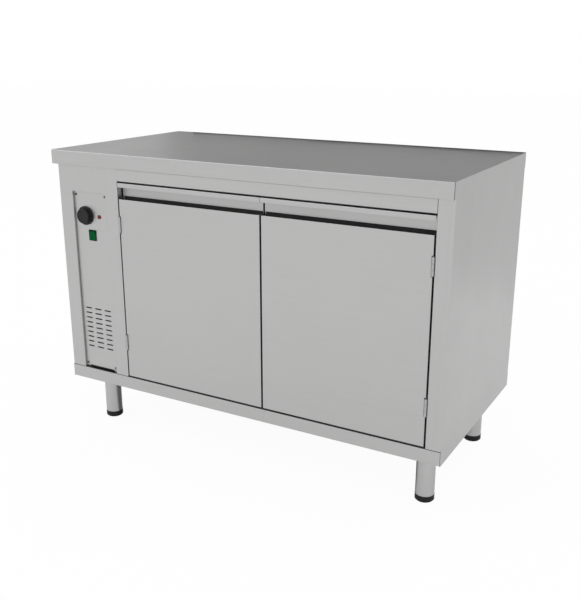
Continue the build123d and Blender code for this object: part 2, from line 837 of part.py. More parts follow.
def door_outer_skin():
    """Front tray of a door below the grip: face, two sides, bottom and a hemmed top edge."""
    left = door_left()
    right = door_right()
    skin = block(left, right, BODY_FRONT, DOOR_BACK, DOOR_BOTTOM, FACE_TOP)
    front_edges = skin.edges().filter_by(Axis.Z).group_by(Axis.Y)[0]
    bottom_edge = skin.edges().filter_by(Axis.X).group_by(Axis.Y)[0].sort_by(Axis.Z)[:1]
    skin = fillet(front_edges + bottom_edge, INNER_BEND)
    skin -= block(
        left + SHEET, right - SHEET, BODY_FRONT + SHEET, DOOR_BACK, DOOR_BOTTOM + SHEET, FACE_TOP
    )
    hem = block(
        left + SHEET,
        right - SHEET,
        BODY_FRONT + SHEET,
        BODY_FRONT + 2 * SHEET,
        FACE_TOP - GRIP_HEM,
        FACE_TOP,
    )
    skin += hem
    lip = skin.edges().filter_by(Axis.X).group_by(Axis.Z)[-1]
    skin = fillet(lip, GRIP_HEM_RADIUS)
    for z in hinge_centres():
        skin -= hinge_notch(z)
    return skin


def door_head():
    """Cap over a door's top: a band in front and a top plate that reaches the inner skin."""
    left = door_left()
    right = door_right()
    band_left = left - HEAD_OVERHANG
    band_right = right + HEAD_OVERHANG
    under = DOOR_TOP - HEAD_SHEET
    step = GRIP_FRONT + SHEET
    band_back = BODY_FRONT + HEAD_SHEET
    head = block(band_left, band_right, BODY_FRONT, band_back, DOOR_TOP - HEAD_BAND, DOOR_TOP)
    head += block(band_left, band_right, BODY_FRONT, step, under, DOOR_TOP)
    head += block(left, right, step, DOOR_BACK, under, DOOR_TOP)
    edge = head.edges().filter_by(Axis.X).group_by(Axis.Z)[-1].sort_by(Axis.Y)[:1]
    return fillet(edge, HEAD_EDGE_RADIUS)


def door_grip_plate():
    """Plate behind the grip recess, turned back under the head's top and at both ends."""
    left = door_left()
    right = door_right()
    top = DOOR_TOP - HEAD_SHEET
    back = DOOR_BACK - SHEET
    points = [(GRIP_FRONT, top - GRIP_PLATE_HEIGHT), (GRIP_FRONT, top), (back, top)]
    section = folded_face(points, OUTER_BEND, Side.RIGHT)
    plate = run_along_x(section, left, right)
    notch_front = DOOR_BACK - INNER_SKIN_RETURN
    for x0, notch in ((left, left + SHEET), (right - SHEET, right - 2 * SHEET)):
        plate += block(x0, x0 + SHEET, GRIP_FRONT + SHEET, DOOR_BACK, FACE_TOP, top)
        plate -= block(notch, notch + SHEET, notch_front, DOOR_BACK, top - SHEET, top)
    return plate


def door_inner_skin():
    """Back sheet of a door, turned forward inside the outer tray's sides and bottom."""
    left = door_left() + SHEET
    right = door_right() - SHEET
    bottom = DOOR_BOTTOM + SHEET
    top = DOOR_TOP - HEAD_SHEET
    skin = block(left, right, DOOR_BACK - INNER_SKIN_RETURN, DOOR_BACK, bottom, top)
    skin -= block(
        left + SHEET, right - SHEET, BODY_FRONT, DOOR_BACK - SHEET, bottom + SHEET, top
    )
    return skin


def door_insulation():
    """Insulating core between a door's skins, with a riser behind the grip plate."""
    left = door_left() + 2 * SHEET + INSULATION_GAP
    right = door_right() - 2 * SHEET - INSULATION_GAP
    back = DOOR_BACK - SHEET
    core_top = FACE_TOP - DOOR_CORE_HEADROOM
    riser_top = DOOR_TOP - HEAD_SHEET - SHEET - INSULATION_GAP
    core = block(left, right, BODY_FRONT + SHEET, back, DOOR_BOTTOM + 2 * SHEET, core_top)
    core += block(left, right, back - DOOR_CORE_RISER, back, core_top, riser_top)
    for z in hinge_centres():
        core -= hinge_notch(z)
    return core


def knuckle(z0, z1):
    """One tube of a hinge barrel on the left door's axis."""
    x = hinge_axis_x()
    tube = rod_z(KNUCKLE_RADIUS, z0, z1, x, HINGE_AXIS_Y)
    return tube - rod_z(PIN_RADIUS + PIN_CLEARANCE, z0, z1, x, HINGE_AXIS_Y)


def hinge_spans(z):
    """Lower, middle and upper knuckle spans of a hinge centred at height z."""
    bottom = z - HINGE_HEIGHT / 2
    third = HINGE_HEIGHT / 3
    gap = KNUCKLE_GAP / 2
    return [
        (bottom, bottom + third - gap),
        (bottom + third + gap, bottom + 2 * third - gap),
        (bottom + 2 * third + gap, bottom + HINGE_HEIGHT),
    ]


def hinge_frame_leaf(z):
    """Leaf on the jamb with the two outer knuckles."""
    lower, middle, upper = hinge_spans(z)
    x = OPENING_LEFT
    leaf = block(
        x, x + LEAF_THICKNESS, HINGE_AXIS_Y, HINGE_AXIS_Y + LEAF_DEPTH, lower[0], upper[1]
    )
    relief = KNUCKLE_RADIUS + HINGE_NOTCH_GAP
    leaf -= block(
        x,
        x + LEAF_THICKNESS,
        HINGE_AXIS_Y,
        HINGE_AXIS_Y + relief,
        middle[0] - KNUCKLE_GAP,
        middle[1] + KNUCKLE_GAP,
    )
    bore = rod_z(PIN_RADIUS + PIN_CLEARANCE, lower[0], upper[1], hinge_axis_x(), HINGE_AXIS_Y)
    return leaf + knuckle(*lower) + knuckle(*upper) - bore


def hinge_door_leaf(z):
    """Leaf on the door's side with the middle knuckle."""
    lower, middle, upper = hinge_spans(z)
    edge = door_left()
    x0 = edge - LEAF_THICKNESS
    relief = KNUCKLE_RADIUS + HINGE_NOTCH_GAP
    plate = block(
        x0,
        edge,
        HINGE_AXIS_Y + relief,
        HINGE_AXIS_Y + LEAF_DEPTH,
        lower[0],
        upper[1],
    )
    neck = block(x0, edge, HINGE_AXIS_Y, HINGE_AXIS_Y + relief, *middle)
    bore = rod_z(PIN_RADIUS + PIN_CLEARANCE, *middle, hinge_axis_x(), HINGE_AXIS_Y)
    return plate + neck + knuckle(*middle) - bore


def hinge_pin(z):
    """Pin through a hinge's three knuckles, standing proud of the top one."""
    lower, middle, upper = hinge_spans(z)
    top = upper[1] + PIN_PROUD
    return rod_z(PIN_RADIUS, lower[0], top, hinge_axis_x(), HINGE_AXIS_Y)


def both_doors(maker):
    """A cabinet-side hinge piece at both hinges of both doors, as one group."""
    left = [maker(z) for z in hinge_centres()]
    return Compound(children=left + [mirrored(piece) for piece in left])


def door_leaves(side):
    """The two door-side leaves of one door, as a group."""
    leaves = [hinge_door_leaf(z) for z in hinge_centres()]
    if side == "right":
        leaves = [mirrored(leaf) for leaf in leaves]
    return Compound(children=leaves)


# ---------------------------------------------------------------- controls

def vent_slots():
    """The control panel's columns of level slots, as a tool to cut them with."""
    slots = Sketch() + [
        place * Rectangle(VENT_LENGTH, VENT_HEIGHT)
        for place in GridLocations(VENT_PITCH_X, VENT_PITCH_Z, VENT_COLUMNS, VENT_ROWS)
    ]
    return run_along_y(Pos(RECESS_CENTRE, VENT_Z) * slots, PANEL_FRONT, PANEL_BACK)


def control_panel():
    """Recessed service panel with its cut-outs and three columns of ventilation slots."""
    y0 = PANEL_FRONT
    y1 = PANEL_BACK
    panel = block(
        RECESS_LEFT + PANEL_EDGE_GAP,
        RECESS_RIGHT - PANEL_EDGE_GAP,
        y0,
        y1,
        PANEL_BOTTOM,
        RECESS_TOP - PANEL_EDGE_GAP,
    )
    panel -= rod_y(THERMOSTAT_BUSH_RADIUS + ASSEMBLY_CLEARANCE, y0, y1, KNOB_X, KNOB_Z)
    panel -= rod_y(LAMP_RADIUS + ASSEMBLY_CLEARANCE, y0, y1, LAMP_X, KNOB_Z)
    half_width = SWITCH_BODY_WIDTH / 2 + ASSEMBLY_CLEARANCE
    half_height = SWITCH_BODY_HEIGHT / 2 + ASSEMBLY_CLEARANCE
    panel -= block(
        RECESS_CENTRE - half_width,
        RECESS_CENTRE + half_width,
        y0,
        y1,
        SWITCH_Z - half_height,
        SWITCH_Z + half_height,
    )
    return panel - vent_slots()


def thermostat_knob():
    """Round control knob, tapered to its face, with a raised rim and a seat for the spindle."""
    base = PANEL_FRONT - KNOB_PANEL_GAP
    face = PANEL_FRONT - KNOB_HEIGHT
    rim_back = base - KNOB_RIM
    points = [
        (0, base),
        (KNOB_RADIUS, base),
        (KNOB_RADIUS, rim_back),
        (KNOB_FACE_RADIUS + KNOB_SHOULDER, rim_back - KNOB_SHOULDER),
        (KNOB_FACE_RADIUS, face + KNOB_EDGE),
        (KNOB_FACE_RADIUS - KNOB_EDGE, face),
        (0, face),
    ]
    knob = turned_y(points, KNOB_X, KNOB_Z)
    seat = rod_y(SPINDLE_RADIUS, base - SPINDLE_SEAT, base, KNOB_X, KNOB_Z)
    hollow_radius = THERMOSTAT_BUSH_RADIUS + KNOB_HOLLOW_GAP
    hollow_end = PANEL_FRONT - THERMOSTAT_BUSH_PROUD - KNOB_HOLLOW_GAP
    return knob - seat - rod_y(hollow_radius, hollow_end, base, KNOB_X, KNOB_Z)


def thermostat_spindle():
    """Spindle from the knob into the thermostat."""
    front = PANEL_FRONT - KNOB_PANEL_GAP - SPINDLE_SEAT
    return rod_y(SPINDLE_RADIUS, front, PANEL_BACK + SPINDLE_INSERT, KNOB_X, KNOB_Z)


def thermostat_body():
    """Thermostat behind the panel with the bush that passes through it."""
    half = THERMOSTAT_SIZE / 2
    back = PANEL_BACK + THERMOSTAT_DEPTH
    body = block(KNOB_X - half, KNOB_X + half, PANEL_BACK, back, KNOB_Z - half, KNOB_Z + half)
    front = PANEL_FRONT - THERMOSTAT_BUSH_PROUD
    body += rod_y(THERMOSTAT_BUSH_RADIUS, front, PANEL_BACK, KNOB_X, KNOB_Z)
    bore_end = PANEL_BACK + SPINDLE_INSERT + ASSEMBLY_CLEARANCE
    return body - rod_y(SPINDLE_RADIUS + SPINDLE_CLEARANCE, front, bore_end, KNOB_X, KNOB_Z)


def pilot_lamp_body():
    """Lamp holder: bezel on the panel and a barrel behind it."""
    front = PANEL_FRONT - LAMP_BEZEL_HEIGHT
    back = PANEL_BACK + LAMP_BODY_LENGTH
    body = rod_y(LAMP_BEZEL_RADIUS, front, PANEL_FRONT, LAMP_X, KNOB_Z)
    body += rod_y(LAMP_RADIUS, PANEL_FRONT, back, LAMP_X, KNOB_Z)
    return body - rod_y(LAMP_LENS_RADIUS, front, PANEL_FRONT, LAMP_X, KNOB_Z)


def pilot_lamp_lens():
    """Domed lens in the lamp holder."""
    back = PANEL_FRONT
    front = PANEL_FRONT - LAMP_LENS_HEIGHT
    lens = rod_y(LAMP_LENS_RADIUS, front, back, LAMP_X, KNOB_Z)
    return chamfer(lens.edges().group_by(Axis.Y)[0], LAMP_LENS_EDGE)


def switch_housing():
    """Snap-in rocker switch body with its bezel and the well that holds the rocker."""
    x = RECESS_CENTRE
    z = SWITCH_Z
    front = PANEL_FRONT - SWITCH_BEZEL_DEPTH
    bezel = block(
        x - SWITCH_BEZEL_WIDTH / 2,
        x + SWITCH_BEZEL_WIDTH / 2,
        front,
        PANEL_FRONT,
        z - SWITCH_BEZEL_HEIGHT / 2,
        z + SWITCH_BEZEL_HEIGHT / 2,
    )
    bezel = fillet(bezel.edges().group_by(Axis.Y)[0], SWITCH_BEZEL_DEPTH / 3)
    body = block(
        x - SWITCH_BODY_WIDTH / 2,
        x + SWITCH_BODY_WIDTH / 2,
        PANEL_FRONT,
        PANEL_FRONT + SWITCH_BODY_DEPTH,
        z - SWITCH_BODY_HEIGHT / 2,
        z + SWITCH_BODY_HEIGHT / 2,
    )
    half_width = SWITCH_BODY_WIDTH / 2 - SWITCH_WALL
    half_height = SWITCH_BODY_HEIGHT / 2 - SWITCH_WALL
    well = block(
        x - half_width,
        x + half_width,
        front,
        PANEL_FRONT + SWITCH_WELL_DEPTH,
        z - half_height,
        z + half_height,
    )
    pivot = PANEL_FRONT + ROCKER_PIVOT_DEPTH
    holes = rod_x(
        ROCKER_PIN_RADIUS + ROCKER_PIN_CLEARANCE,
        x - half_width - SWITCH_WALL / 2,
        x + half_width + SWITCH_WALL / 2,
        pivot,
        z,
    )
    return bezel + body - well - holes


def switch_rocker():
    """Rocker with two sloping halves and pivot pins, resting with one end pressed."""
    x = RECESS_CENTRE
    half_width = SWITCH_BODY_WIDTH / 2 - SWITCH_WALL - ROCKER_GAP
    reach = SWITCH_BODY_HEIGHT / 2 - SWITCH_WALL - 2 * ROCKER_GAP
    pivot = PANEL_FRONT + ROCKER_PIVOT_DEPTH
    rise = reach * math.tan(math.radians(ROCKER_TILT))
    face = -ROCKER_PIVOT_DEPTH - SWITCH_BEZEL_DEPTH
    toe = reach * math.cos(math.radians(2 * ROCKER_TILT))
    outline = [
        (face, 0),
        (face - rise, reach),
        (ROCKER_BASE_DEPTH, toe),
        (ROCKER_BASE_DEPTH, -toe),
        (face - rise, -reach),
    ]
    profile = make_face(Polyline(*outline, close=True))
    rocker = run_along_x(profile, -half_width, half_width)
    pin_reach = half_width + ROCKER_GAP + SWITCH_WALL / 2 - ROCKER_PIN_END_GAP
    rocker += rod_x(ROCKER_PIN_RADIUS, -pin_reach, pin_reach, 0, 0)
    return Pos(x, pivot, SWITCH_Z) * Rot(ROCKER_TILT, 0, 0) * rocker


def terminal_block():
    """Screw terminal strip on the floor of the control bay."""
    x = GLAND_X
    y = BODY_BACK - TERMINAL_BACK_GAP
    z = BODY_BOTTOM + SHEET
    strip = block(
        x - TERMINAL_LENGTH / 2,
        x + TERMINAL_LENGTH / 2,
        y - TERMINAL_WIDTH / 2,
        y + TERMINAL_WIDTH / 2,
        z,
        z + TERMINAL_HEIGHT,
    )
    pitch = TERMINAL_LENGTH / TERMINAL_WAYS
    for way in range(TERMINAL_WAYS):
        hole_x = x - TERMINAL_LENGTH / 2 + (way + 0.5) * pitch
        top = z + TERMINAL_HEIGHT
        strip -= block(
            hole_x - TERMINAL_POCKET / 2,
            hole_x + TERMINAL_POCKET / 2,
            y - TERMINAL_POCKET / 2,
            y + TERMINAL_POCKET / 2,
            top - TERMINAL_POCKET_DEPTH,
            top,
        )
    return strip


def hexagon_y(radius, y0, y1, x, z):
    """Hexagonal bar along Y."""
    return run_along_y(Pos(x, z) * RegularPolygon(radius, 6), y0, y1)


def cable_gland():
    """Gland through the back panel, open for the supply cable."""
    outside = BACK_PANEL_FACE + GLAND_HEX_LENGTH
    inside = BODY_BACK - GLAND_INNER_LENGTH
    gland = hexagon_y(GLAND_HEX_RADIUS, BACK_PANEL_FACE, outside, GLAND_X, GLAND_Z)
    gland += rod_y(GLAND_THREAD_RADIUS, inside, BACK_PANEL_FACE, GLAND_X, GLAND_Z)
    return gland - rod_y(GLAND_BORE_RADIUS, inside, outside, GLAND_X, GLAND_Z)


def gland_locknut():
    """Nut on the gland, inside the back panel."""
    nut = hexagon_y(GLAND_HEX_RADIUS, BODY_BACK - LOCKNUT_THICKNESS, BODY_BACK, GLAND_X, GLAND_Z)
    hole = rod_y(GLAND_THREAD_RADIUS, BODY_BACK - LOCKNUT_THICKNESS, BODY_BACK, GLAND_X, GLAND_Z)
    return nut - hole


# ---------------------------------------------------------------- fan and heaters

def motor_plate():
    """Plate that closes the fan opening on the bay side and carries the motor."""
    half = MOTOR_PLATE_SIZE / 2
    plate = block(
        MOTOR_PLATE_FACE, PARTITION_BAY_FACE, FAN_Y - half, FAN_Y + half, FAN_Z - half, FAN_Z + half
    )
    hole = rod_x(MOTOR_BOSS_RADIUS, MOTOR_PLATE_FACE, PARTITION_BAY_FACE, FAN_Y, FAN_Z)
    return plate - hole


def fan_motor():
    """Motor can with a bearing boss that centres it in its plate."""
    face = MOTOR_PLATE_FACE
    back = face - MOTOR_LENGTH
    motor = rod_x(MOTOR_RADIUS, back, face, FAN_Y, FAN_Z)
    motor = chamfer(motor.edges().group_by(Axis.X)[0], MOTOR_EDGE)
    motor += rod_x(MOTOR_BOSS_RADIUS, face, PARTITION_BAY_FACE, FAN_Y, FAN_Z)
    bore_end = face - SHAFT_SEAT - ASSEMBLY_CLEARANCE
    bore = rod_x(SHAFT_RADIUS + SHAFT_CLEARANCE, bore_end, PARTITION_BAY_FACE, FAN_Y, FAN_Z)
    return motor - bore


def impeller_front():
    """X of the impeller's back plate, on its cavity side."""
    return CAVITY_LEFT + IMPELLER_WALL_GAP + IMPELLER_PLATE


def fan_shaft():
    """Motor shaft, from inside the motor to the impeller's hub."""
    back = MOTOR_PLATE_FACE - SHAFT_SEAT
    front = impeller_front() + IMPELLER_BLADE_HEIGHT / 2
    return rod_x(SHAFT_RADIUS, back, front, FAN_Y, FAN_Z)


def impeller_blade():
    """Section of one backward-curved blade, drawn in Y and Z."""
    inner = IMPELLER_EYE_RADIUS
    outer = IMPELLER_RADIUS - IMPELLER_BLADE_SHEET
    sweep = math.radians(IMPELLER_BLADE_SWEEP)
    start = (inner, 0)
    end = (outer * math.cos(sweep), outer * math.sin(sweep))
    middle_radius = (inner + outer) / 2
    bow = math.radians(IMPELLER_BLADE_BOW)
    middle = (middle_radius * math.cos(bow), middle_radius * math.sin(bow))
    return trace(ThreePointArc(start, middle, end), IMPELLER_BLADE_SHEET)


def fan_impeller():
    """Radial impeller: back plate, hub, curved blades and front ring."""
    plate_front = impeller_front()
    plate_back = plate_front - IMPELLER_PLATE
    blade_end = plate_front + IMPELLER_BLADE_HEIGHT
    wheel = rod_x(IMPELLER_RADIUS, plate_back, plate_front, 0, 0)
    wheel += rod_x(
        IMPELLER_HUB_RADIUS, plate_front, plate_front + IMPELLER_BLADE_HEIGHT / 2, 0, 0
    )
    blade = run_along_x(impeller_blade(), plate_front, blade_end)
    step = 360.0 / IMPELLER_BLADE_COUNT
    wheel += [Rot(index * step, 0, 0) * blade for index in range(IMPELLER_BLADE_COUNT)]
    ring = rod_x(IMPELLER_RADIUS, blade_end, blade_end + IMPELLER_PLATE, 0, 0)
    ring -= rod_x(IMPELLER_EYE_RADIUS, blade_end, blade_end + IMPELLER_PLATE, 0, 0)
    wheel += ring
    wheel -= rod_x(SHAFT_RADIUS, plate_back, blade_end, 0, 0)
    return Pos(0, FAN_Y, FAN_Z) * wheel


def heater_strip(y):
    """Flat finned heater beside the impeller, standing off the wall on two tabs."""
    back = CAVITY_LEFT + HEATER_STANDOFF
    front = back + HEATER_BAR_WIDTH
    half_bar = HEATER_BAR_THICKNESS / 2
    half_length = HEATER_LENGTH / 2
    strip = block(back, front, y - half_bar, y + half_bar, FAN_Z - half_length, FAN_Z + half_length)
    for end in (-1, 1):
        outer = FAN_Z + end * half_length
        inner = FAN_Z + end * (half_length - HEATER_TAB)
        strip += block(
            CAVITY_LEFT, back, y - half_bar, y + half_bar, min(outer, inner), max(outer, inner)
        )
    centre_x = (back + front) / 2
    half_fin = HEATER_FIN_SHEET / 2
    first = FAN_Z - (HEATER_FIN_COUNT - 1) * HEATER_FIN_PITCH / 2
    for index in range(HEATER_FIN_COUNT):
        z = first + index * HEATER_FIN_PITCH
        strip += block(
            centre_x - HEATER_FIN_WIDTH / 2,
            centre_x + HEATER_FIN_WIDTH / 2,
            y - HEATER_FIN_DEPTH / 2,
            y + HEATER_FIN_DEPTH / 2,
            z - half_fin,
            z + half_fin,
        )
    return strip


def heater_strips():
    """The two finned heaters, in front of and behind the impeller."""
    return Compound(
        children=[heater_strip(FAN_Y - HEATER_OFFSET), heater_strip(FAN_Y + HEATER_OFFSET)]
    )


def air_guard():
    """Slotted cover over the impeller and heaters, with a screwed flange."""
    wall_x = CAVITY_LEFT
    front = wall_x + GUARD_DEPTH
    half = GUARD_SIZE / 2 - GUARD_FLANGE
    outer = GUARD_SIZE / 2
    guard = block(wall_x, front, FAN_Y - half, FAN_Y + half, FAN_Z - half, FAN_Z + half)
    guard += block(
        wall_x, wall_x + SHEET, FAN_Y - outer, FAN_Y + outer, FAN_Z - outer, FAN_Z + outer
    )
    inside = half - SHEET
    guard -= block(
        wall_x, front - SHEET, FAN_Y - inside, FAN_Y + inside, FAN_Z - inside, FAN_Z + inside
    )
    face_slots = Sketch() + [
        place * Rectangle(GUARD_SLOT_LENGTH, GUARD_SLOT_WIDTH)
        for place in GridLocations(
            GUARD_SLOT_LENGTH + GUARD_SLOT_PITCH, GUARD_SLOT_PITCH, GUARD_SLOT_COLUMNS, GUARD_SLOT_ROWS
        )
    ]
    guard -= run_along_x(Pos(FAN_Y, FAN_Z) * face_slots, front - SHEET, front)
    side_slots = Sketch() + [
        place * Rectangle(GUARD_SIDE_SLOT_LENGTH, GUARD_SLOT_WIDTH)
        for place in GridLocations(1, GUARD_SLOT_PITCH, 1, GUARD_SLOT_ROWS)
    ]
    middle = (wall_x + front) / 2
    for y0 in (FAN_Y - half, FAN_Y + half - SHEET):
        guard -= run_along_y(Pos(middle, FAN_Z) * side_slots, y0, y0 + SHEET)
    return guard


def temperature_sensor():
    """Thermostat's bulb in the cavity and the capillary that joins it to the thermostat."""
    bulb_x = CAVITY_LEFT + SENSOR_STANDOFF
    back = PANEL_BACK + THERMOSTAT_DEPTH
    knee = (KNOB_X + PARTITION_BAY_FACE) / 2
    points = [
        (KNOB_X, back, KNOB_Z),
        (KNOB_X, back + CAPILLARY_REACH, KNOB_Z),
        (knee, SENSOR_Y, SENSOR_Z),
        (bulb_x, SENSOR_Y, SENSOR_Z),
        (bulb_x, SENSOR_Y + SENSOR_LEAD, SENSOR_Z),
    ]
    path = Polyline(*points)
    start = Plane(origin=path @ 0, z_dir=path % 0)
    tube = sweep(start * Circle(CAPILLARY_RADIUS), path=path, transition=Transition.RIGHT)
    bulb_start = SENSOR_Y + SENSOR_LEAD
    return tube + rod_y(SENSOR_RADIUS, bulb_start, bulb_start + SENSOR_LENGTH, bulb_x, SENSOR_Z)


# ---------------------------------------------------------------- fasteners

def casing_screws():
    """Heads of the casing screws: round on the control panel, hexagonal on back and guard."""
    front = PANEL_FRONT - SCREW_HEAD_HEIGHT
    back = BACK_PANEL_FACE + SCREW_HEAD_HEIGHT
    flange = CAVITY_LEFT + SHEET
    heads = [
        rod_y(SCREW_HEAD_RADIUS, front, PANEL_FRONT, x, z) for x, z in panel_screw_places()
    ]
    heads += [
        hexagon_y(SCREW_HEAD_RADIUS, BACK_PANEL_FACE, back, x, z) for x, z in back_screw_places()
    ]
    hexagon = RegularPolygon(SCREW_HEAD_RADIUS, 6)
    heads += [
        run_along_x(Pos(y, z) * hexagon, flange, flange + SCREW_HEAD_HEIGHT)
        for y, z in guard_screw_places()
    ]
    return Compound(children=heads)


def leg_bolt(x, y):
    """Hexagon head of a bolt that goes up through a leg's plate and the base pan."""
    under = BODY_BOTTOM - LEG_PLATE_THICKNESS
    head = Pos(x, y) * RegularPolygon(LEG_BOLT_HEAD_RADIUS, 6)
    return run_along_z(head, under - LEG_BOLT_HEAD_HEIGHT, under)


def leg_bolts():
    """Bolts of all four legs, as a group."""
    return Compound(children=[leg_bolt(x, y) for x, y in leg_bolt_places()])


# ---------------------------------------------------------------- legs

def leg(x, y):
    """Tube welded under a square plate."""
    top = BODY_BOTTOM - LEG_PLATE_THICKNESS
    half = LEG_PLATE_SIZE / 2
    tube = rod_z(LEG_RADIUS, FOOT_HEIGHT, top, x, y)
    tube -= rod_z(LEG_RADIUS - LEG_WALL, FOOT_HEIGHT, top, x, y)
    return tube + block(x - half, x + half, y - half, y + half, top, BODY_BOTTOM)


def leg_bushes():
    """Bushes pressed into the tubes' lower ends, one for each foot's stud."""
    bushes = []
    for x, y in LEG_PLACES.values():
        bush = rod_z(LEG_RADIUS - LEG_WALL, FOOT_HEIGHT, FOOT_HEIGHT + BUSH_LENGTH, x, y)
        bore = STUD_RADIUS + STUD_CLEARANCE
        bushes.append(bush - rod_z(bore, FOOT_HEIGHT, FOOT_HEIGHT + BUSH_LENGTH, x, y))
    return Compound(children=bushes)


def foot(x, y):
    """Moulded foot with its stud, screwed fully into the leg."""
    pad = rod_z(FOOT_RADIUS, 0, FOOT_HEIGHT, x, y)
    pad = chamfer(pad.edges().group_by(Axis.Z)[0], FOOT_EDGE)
    return pad + rod_z(STUD_RADIUS, FOOT_HEIGHT, FOOT_HEIGHT + STUD_LENGTH, x, y)


# ---------------------------------------------------------------- assembly

def door_nodes():
    """Sheet pieces and cores of both doors."""
    makers = {
        "outer_skin": door_outer_skin,
        "head": door_head,
        "grip_plate": door_grip_plate,
        "inner_skin": door_inner_skin,
        "insulation": door_insulation,
    }
    nodes = {}
    for name, maker in makers.items():
        piece = maker()
        nodes["left_door_" + name] = piece
        nodes["right_door_" + name] = mirrored(piece)
    return nodes


def leg_nodes():
    """Legs and feet at the four corners."""
    nodes = {}
    for corner, (x, y) in LEG_PLACES.items():
        nodes["leg_" + corner] = leg(x, y)
        nodes["foot_" + corner] = foot(x, y)
    return nodes


def all_nodes():
    """Every node of the cabinet by name."""
    nodes = {
        "worktop_skin": worktop_skin(),
        "worktop_core": worktop_core(),
        "left_side_panel": left_side_panel(),
        "right_side_panel": right_side_panel(),
        "top_rail": top_rail(),
        "bottom_rail": bottom_rail(),
        "base_pan": base_pan(),
        "back_panel": back_panel(),
        "liner_floor": liner_floor(),
        "liner_ceiling": liner_ceiling(),
        "liner_back": liner_back(),
        "liner_right_wall": liner_right_wall(),
        "partition_wall": partition_wall(),
        "cavity_insulation": cavity_insulation(),
        "shelf": shelf(),
        "shelf_clips": shelf_clips(),
        "magnetic_catches": magnetic_catches(),
        "control_panel": control_panel(),
        "thermostat_knob": thermostat_knob(),
        "thermostat_spindle": thermostat_spindle(),
        "thermostat_body": thermostat_body(),
        "temperature_sensor": temperature_sensor(),
        "pilot_lamp_lens": pilot_lamp_lens(),
        "pilot_lamp_body": pilot_lamp_body(),
        "switch_housing": switch_housing(),
        "switch_rocker": switch_rocker(),
        "terminal_block": terminal_block(),
        "cable_gland": cable_gland(),
        "gland_locknut": gland_locknut(),
        "motor_plate": motor_plate(),
        "fan_motor": fan_motor(),
        "fan_shaft": fan_shaft(),
        "fan_impeller": fan_impeller(),
        "heater_strips": heater_strips(),
        "air_guard": air_guard(),
        "casing_screws": casing_screws(),
        "leg_bolts": leg_bolts(),
        "leg_bushes": leg_bushes(),
        "hinge_frame_leaves": both_doors(hinge_frame_leaf),
        "hinge_pins": both_doors(hinge_pin),
        "left_door_hinge_leaves": door_leaves("left"),
        "right_door_hinge_leaves": door_leaves("right"),
    }
    nodes.update(door_nodes())
    nodes.update(leg_nodes())
    return nodes


def main():
    """Build every node and write it to parts/."""
    os.makedirs("parts", exist_ok=True)
    for name, part in all_nodes().items():
        export_step(part, f"parts/{name}.step")


main()
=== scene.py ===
"""Looks of the plate warmer cabinet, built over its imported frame.

Lengths are in metres and in the frame's own axes: +X to the right, +Y to the back, +Z up. The
doors face -Y. The file goes from small to large: shader effects, finishes, modelling moves, the
sub-assemblies of the cabinet, the studio, and the order in which they are built.
"""

import logging
import math
from dataclasses import dataclass
from enum import Enum
from typing import Callable, Mapping, Sequence

import bmesh
import bpy
from mathutils import Matrix, Vector


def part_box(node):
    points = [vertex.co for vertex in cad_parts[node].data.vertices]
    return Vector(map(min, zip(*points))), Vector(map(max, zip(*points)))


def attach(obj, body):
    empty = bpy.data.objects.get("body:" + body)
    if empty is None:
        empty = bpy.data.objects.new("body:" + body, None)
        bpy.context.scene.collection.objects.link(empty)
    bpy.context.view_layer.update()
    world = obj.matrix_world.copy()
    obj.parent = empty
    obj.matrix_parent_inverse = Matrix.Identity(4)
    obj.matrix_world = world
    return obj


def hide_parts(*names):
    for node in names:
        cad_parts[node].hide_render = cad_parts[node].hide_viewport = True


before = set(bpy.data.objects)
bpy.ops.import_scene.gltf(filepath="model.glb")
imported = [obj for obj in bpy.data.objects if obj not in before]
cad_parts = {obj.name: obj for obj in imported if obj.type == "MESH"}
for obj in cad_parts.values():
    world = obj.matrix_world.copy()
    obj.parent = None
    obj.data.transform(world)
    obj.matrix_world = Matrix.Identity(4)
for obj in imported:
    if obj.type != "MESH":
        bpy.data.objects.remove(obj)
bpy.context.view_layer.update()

LOG = logging.getLogger("plate_warmer")
Colour = tuple[float, float, float]
Point = tuple[float, float, float]
Sockets = Mapping[str, bpy.types.NodeSocket]


# ------------------------------------------------------------------ shader effects

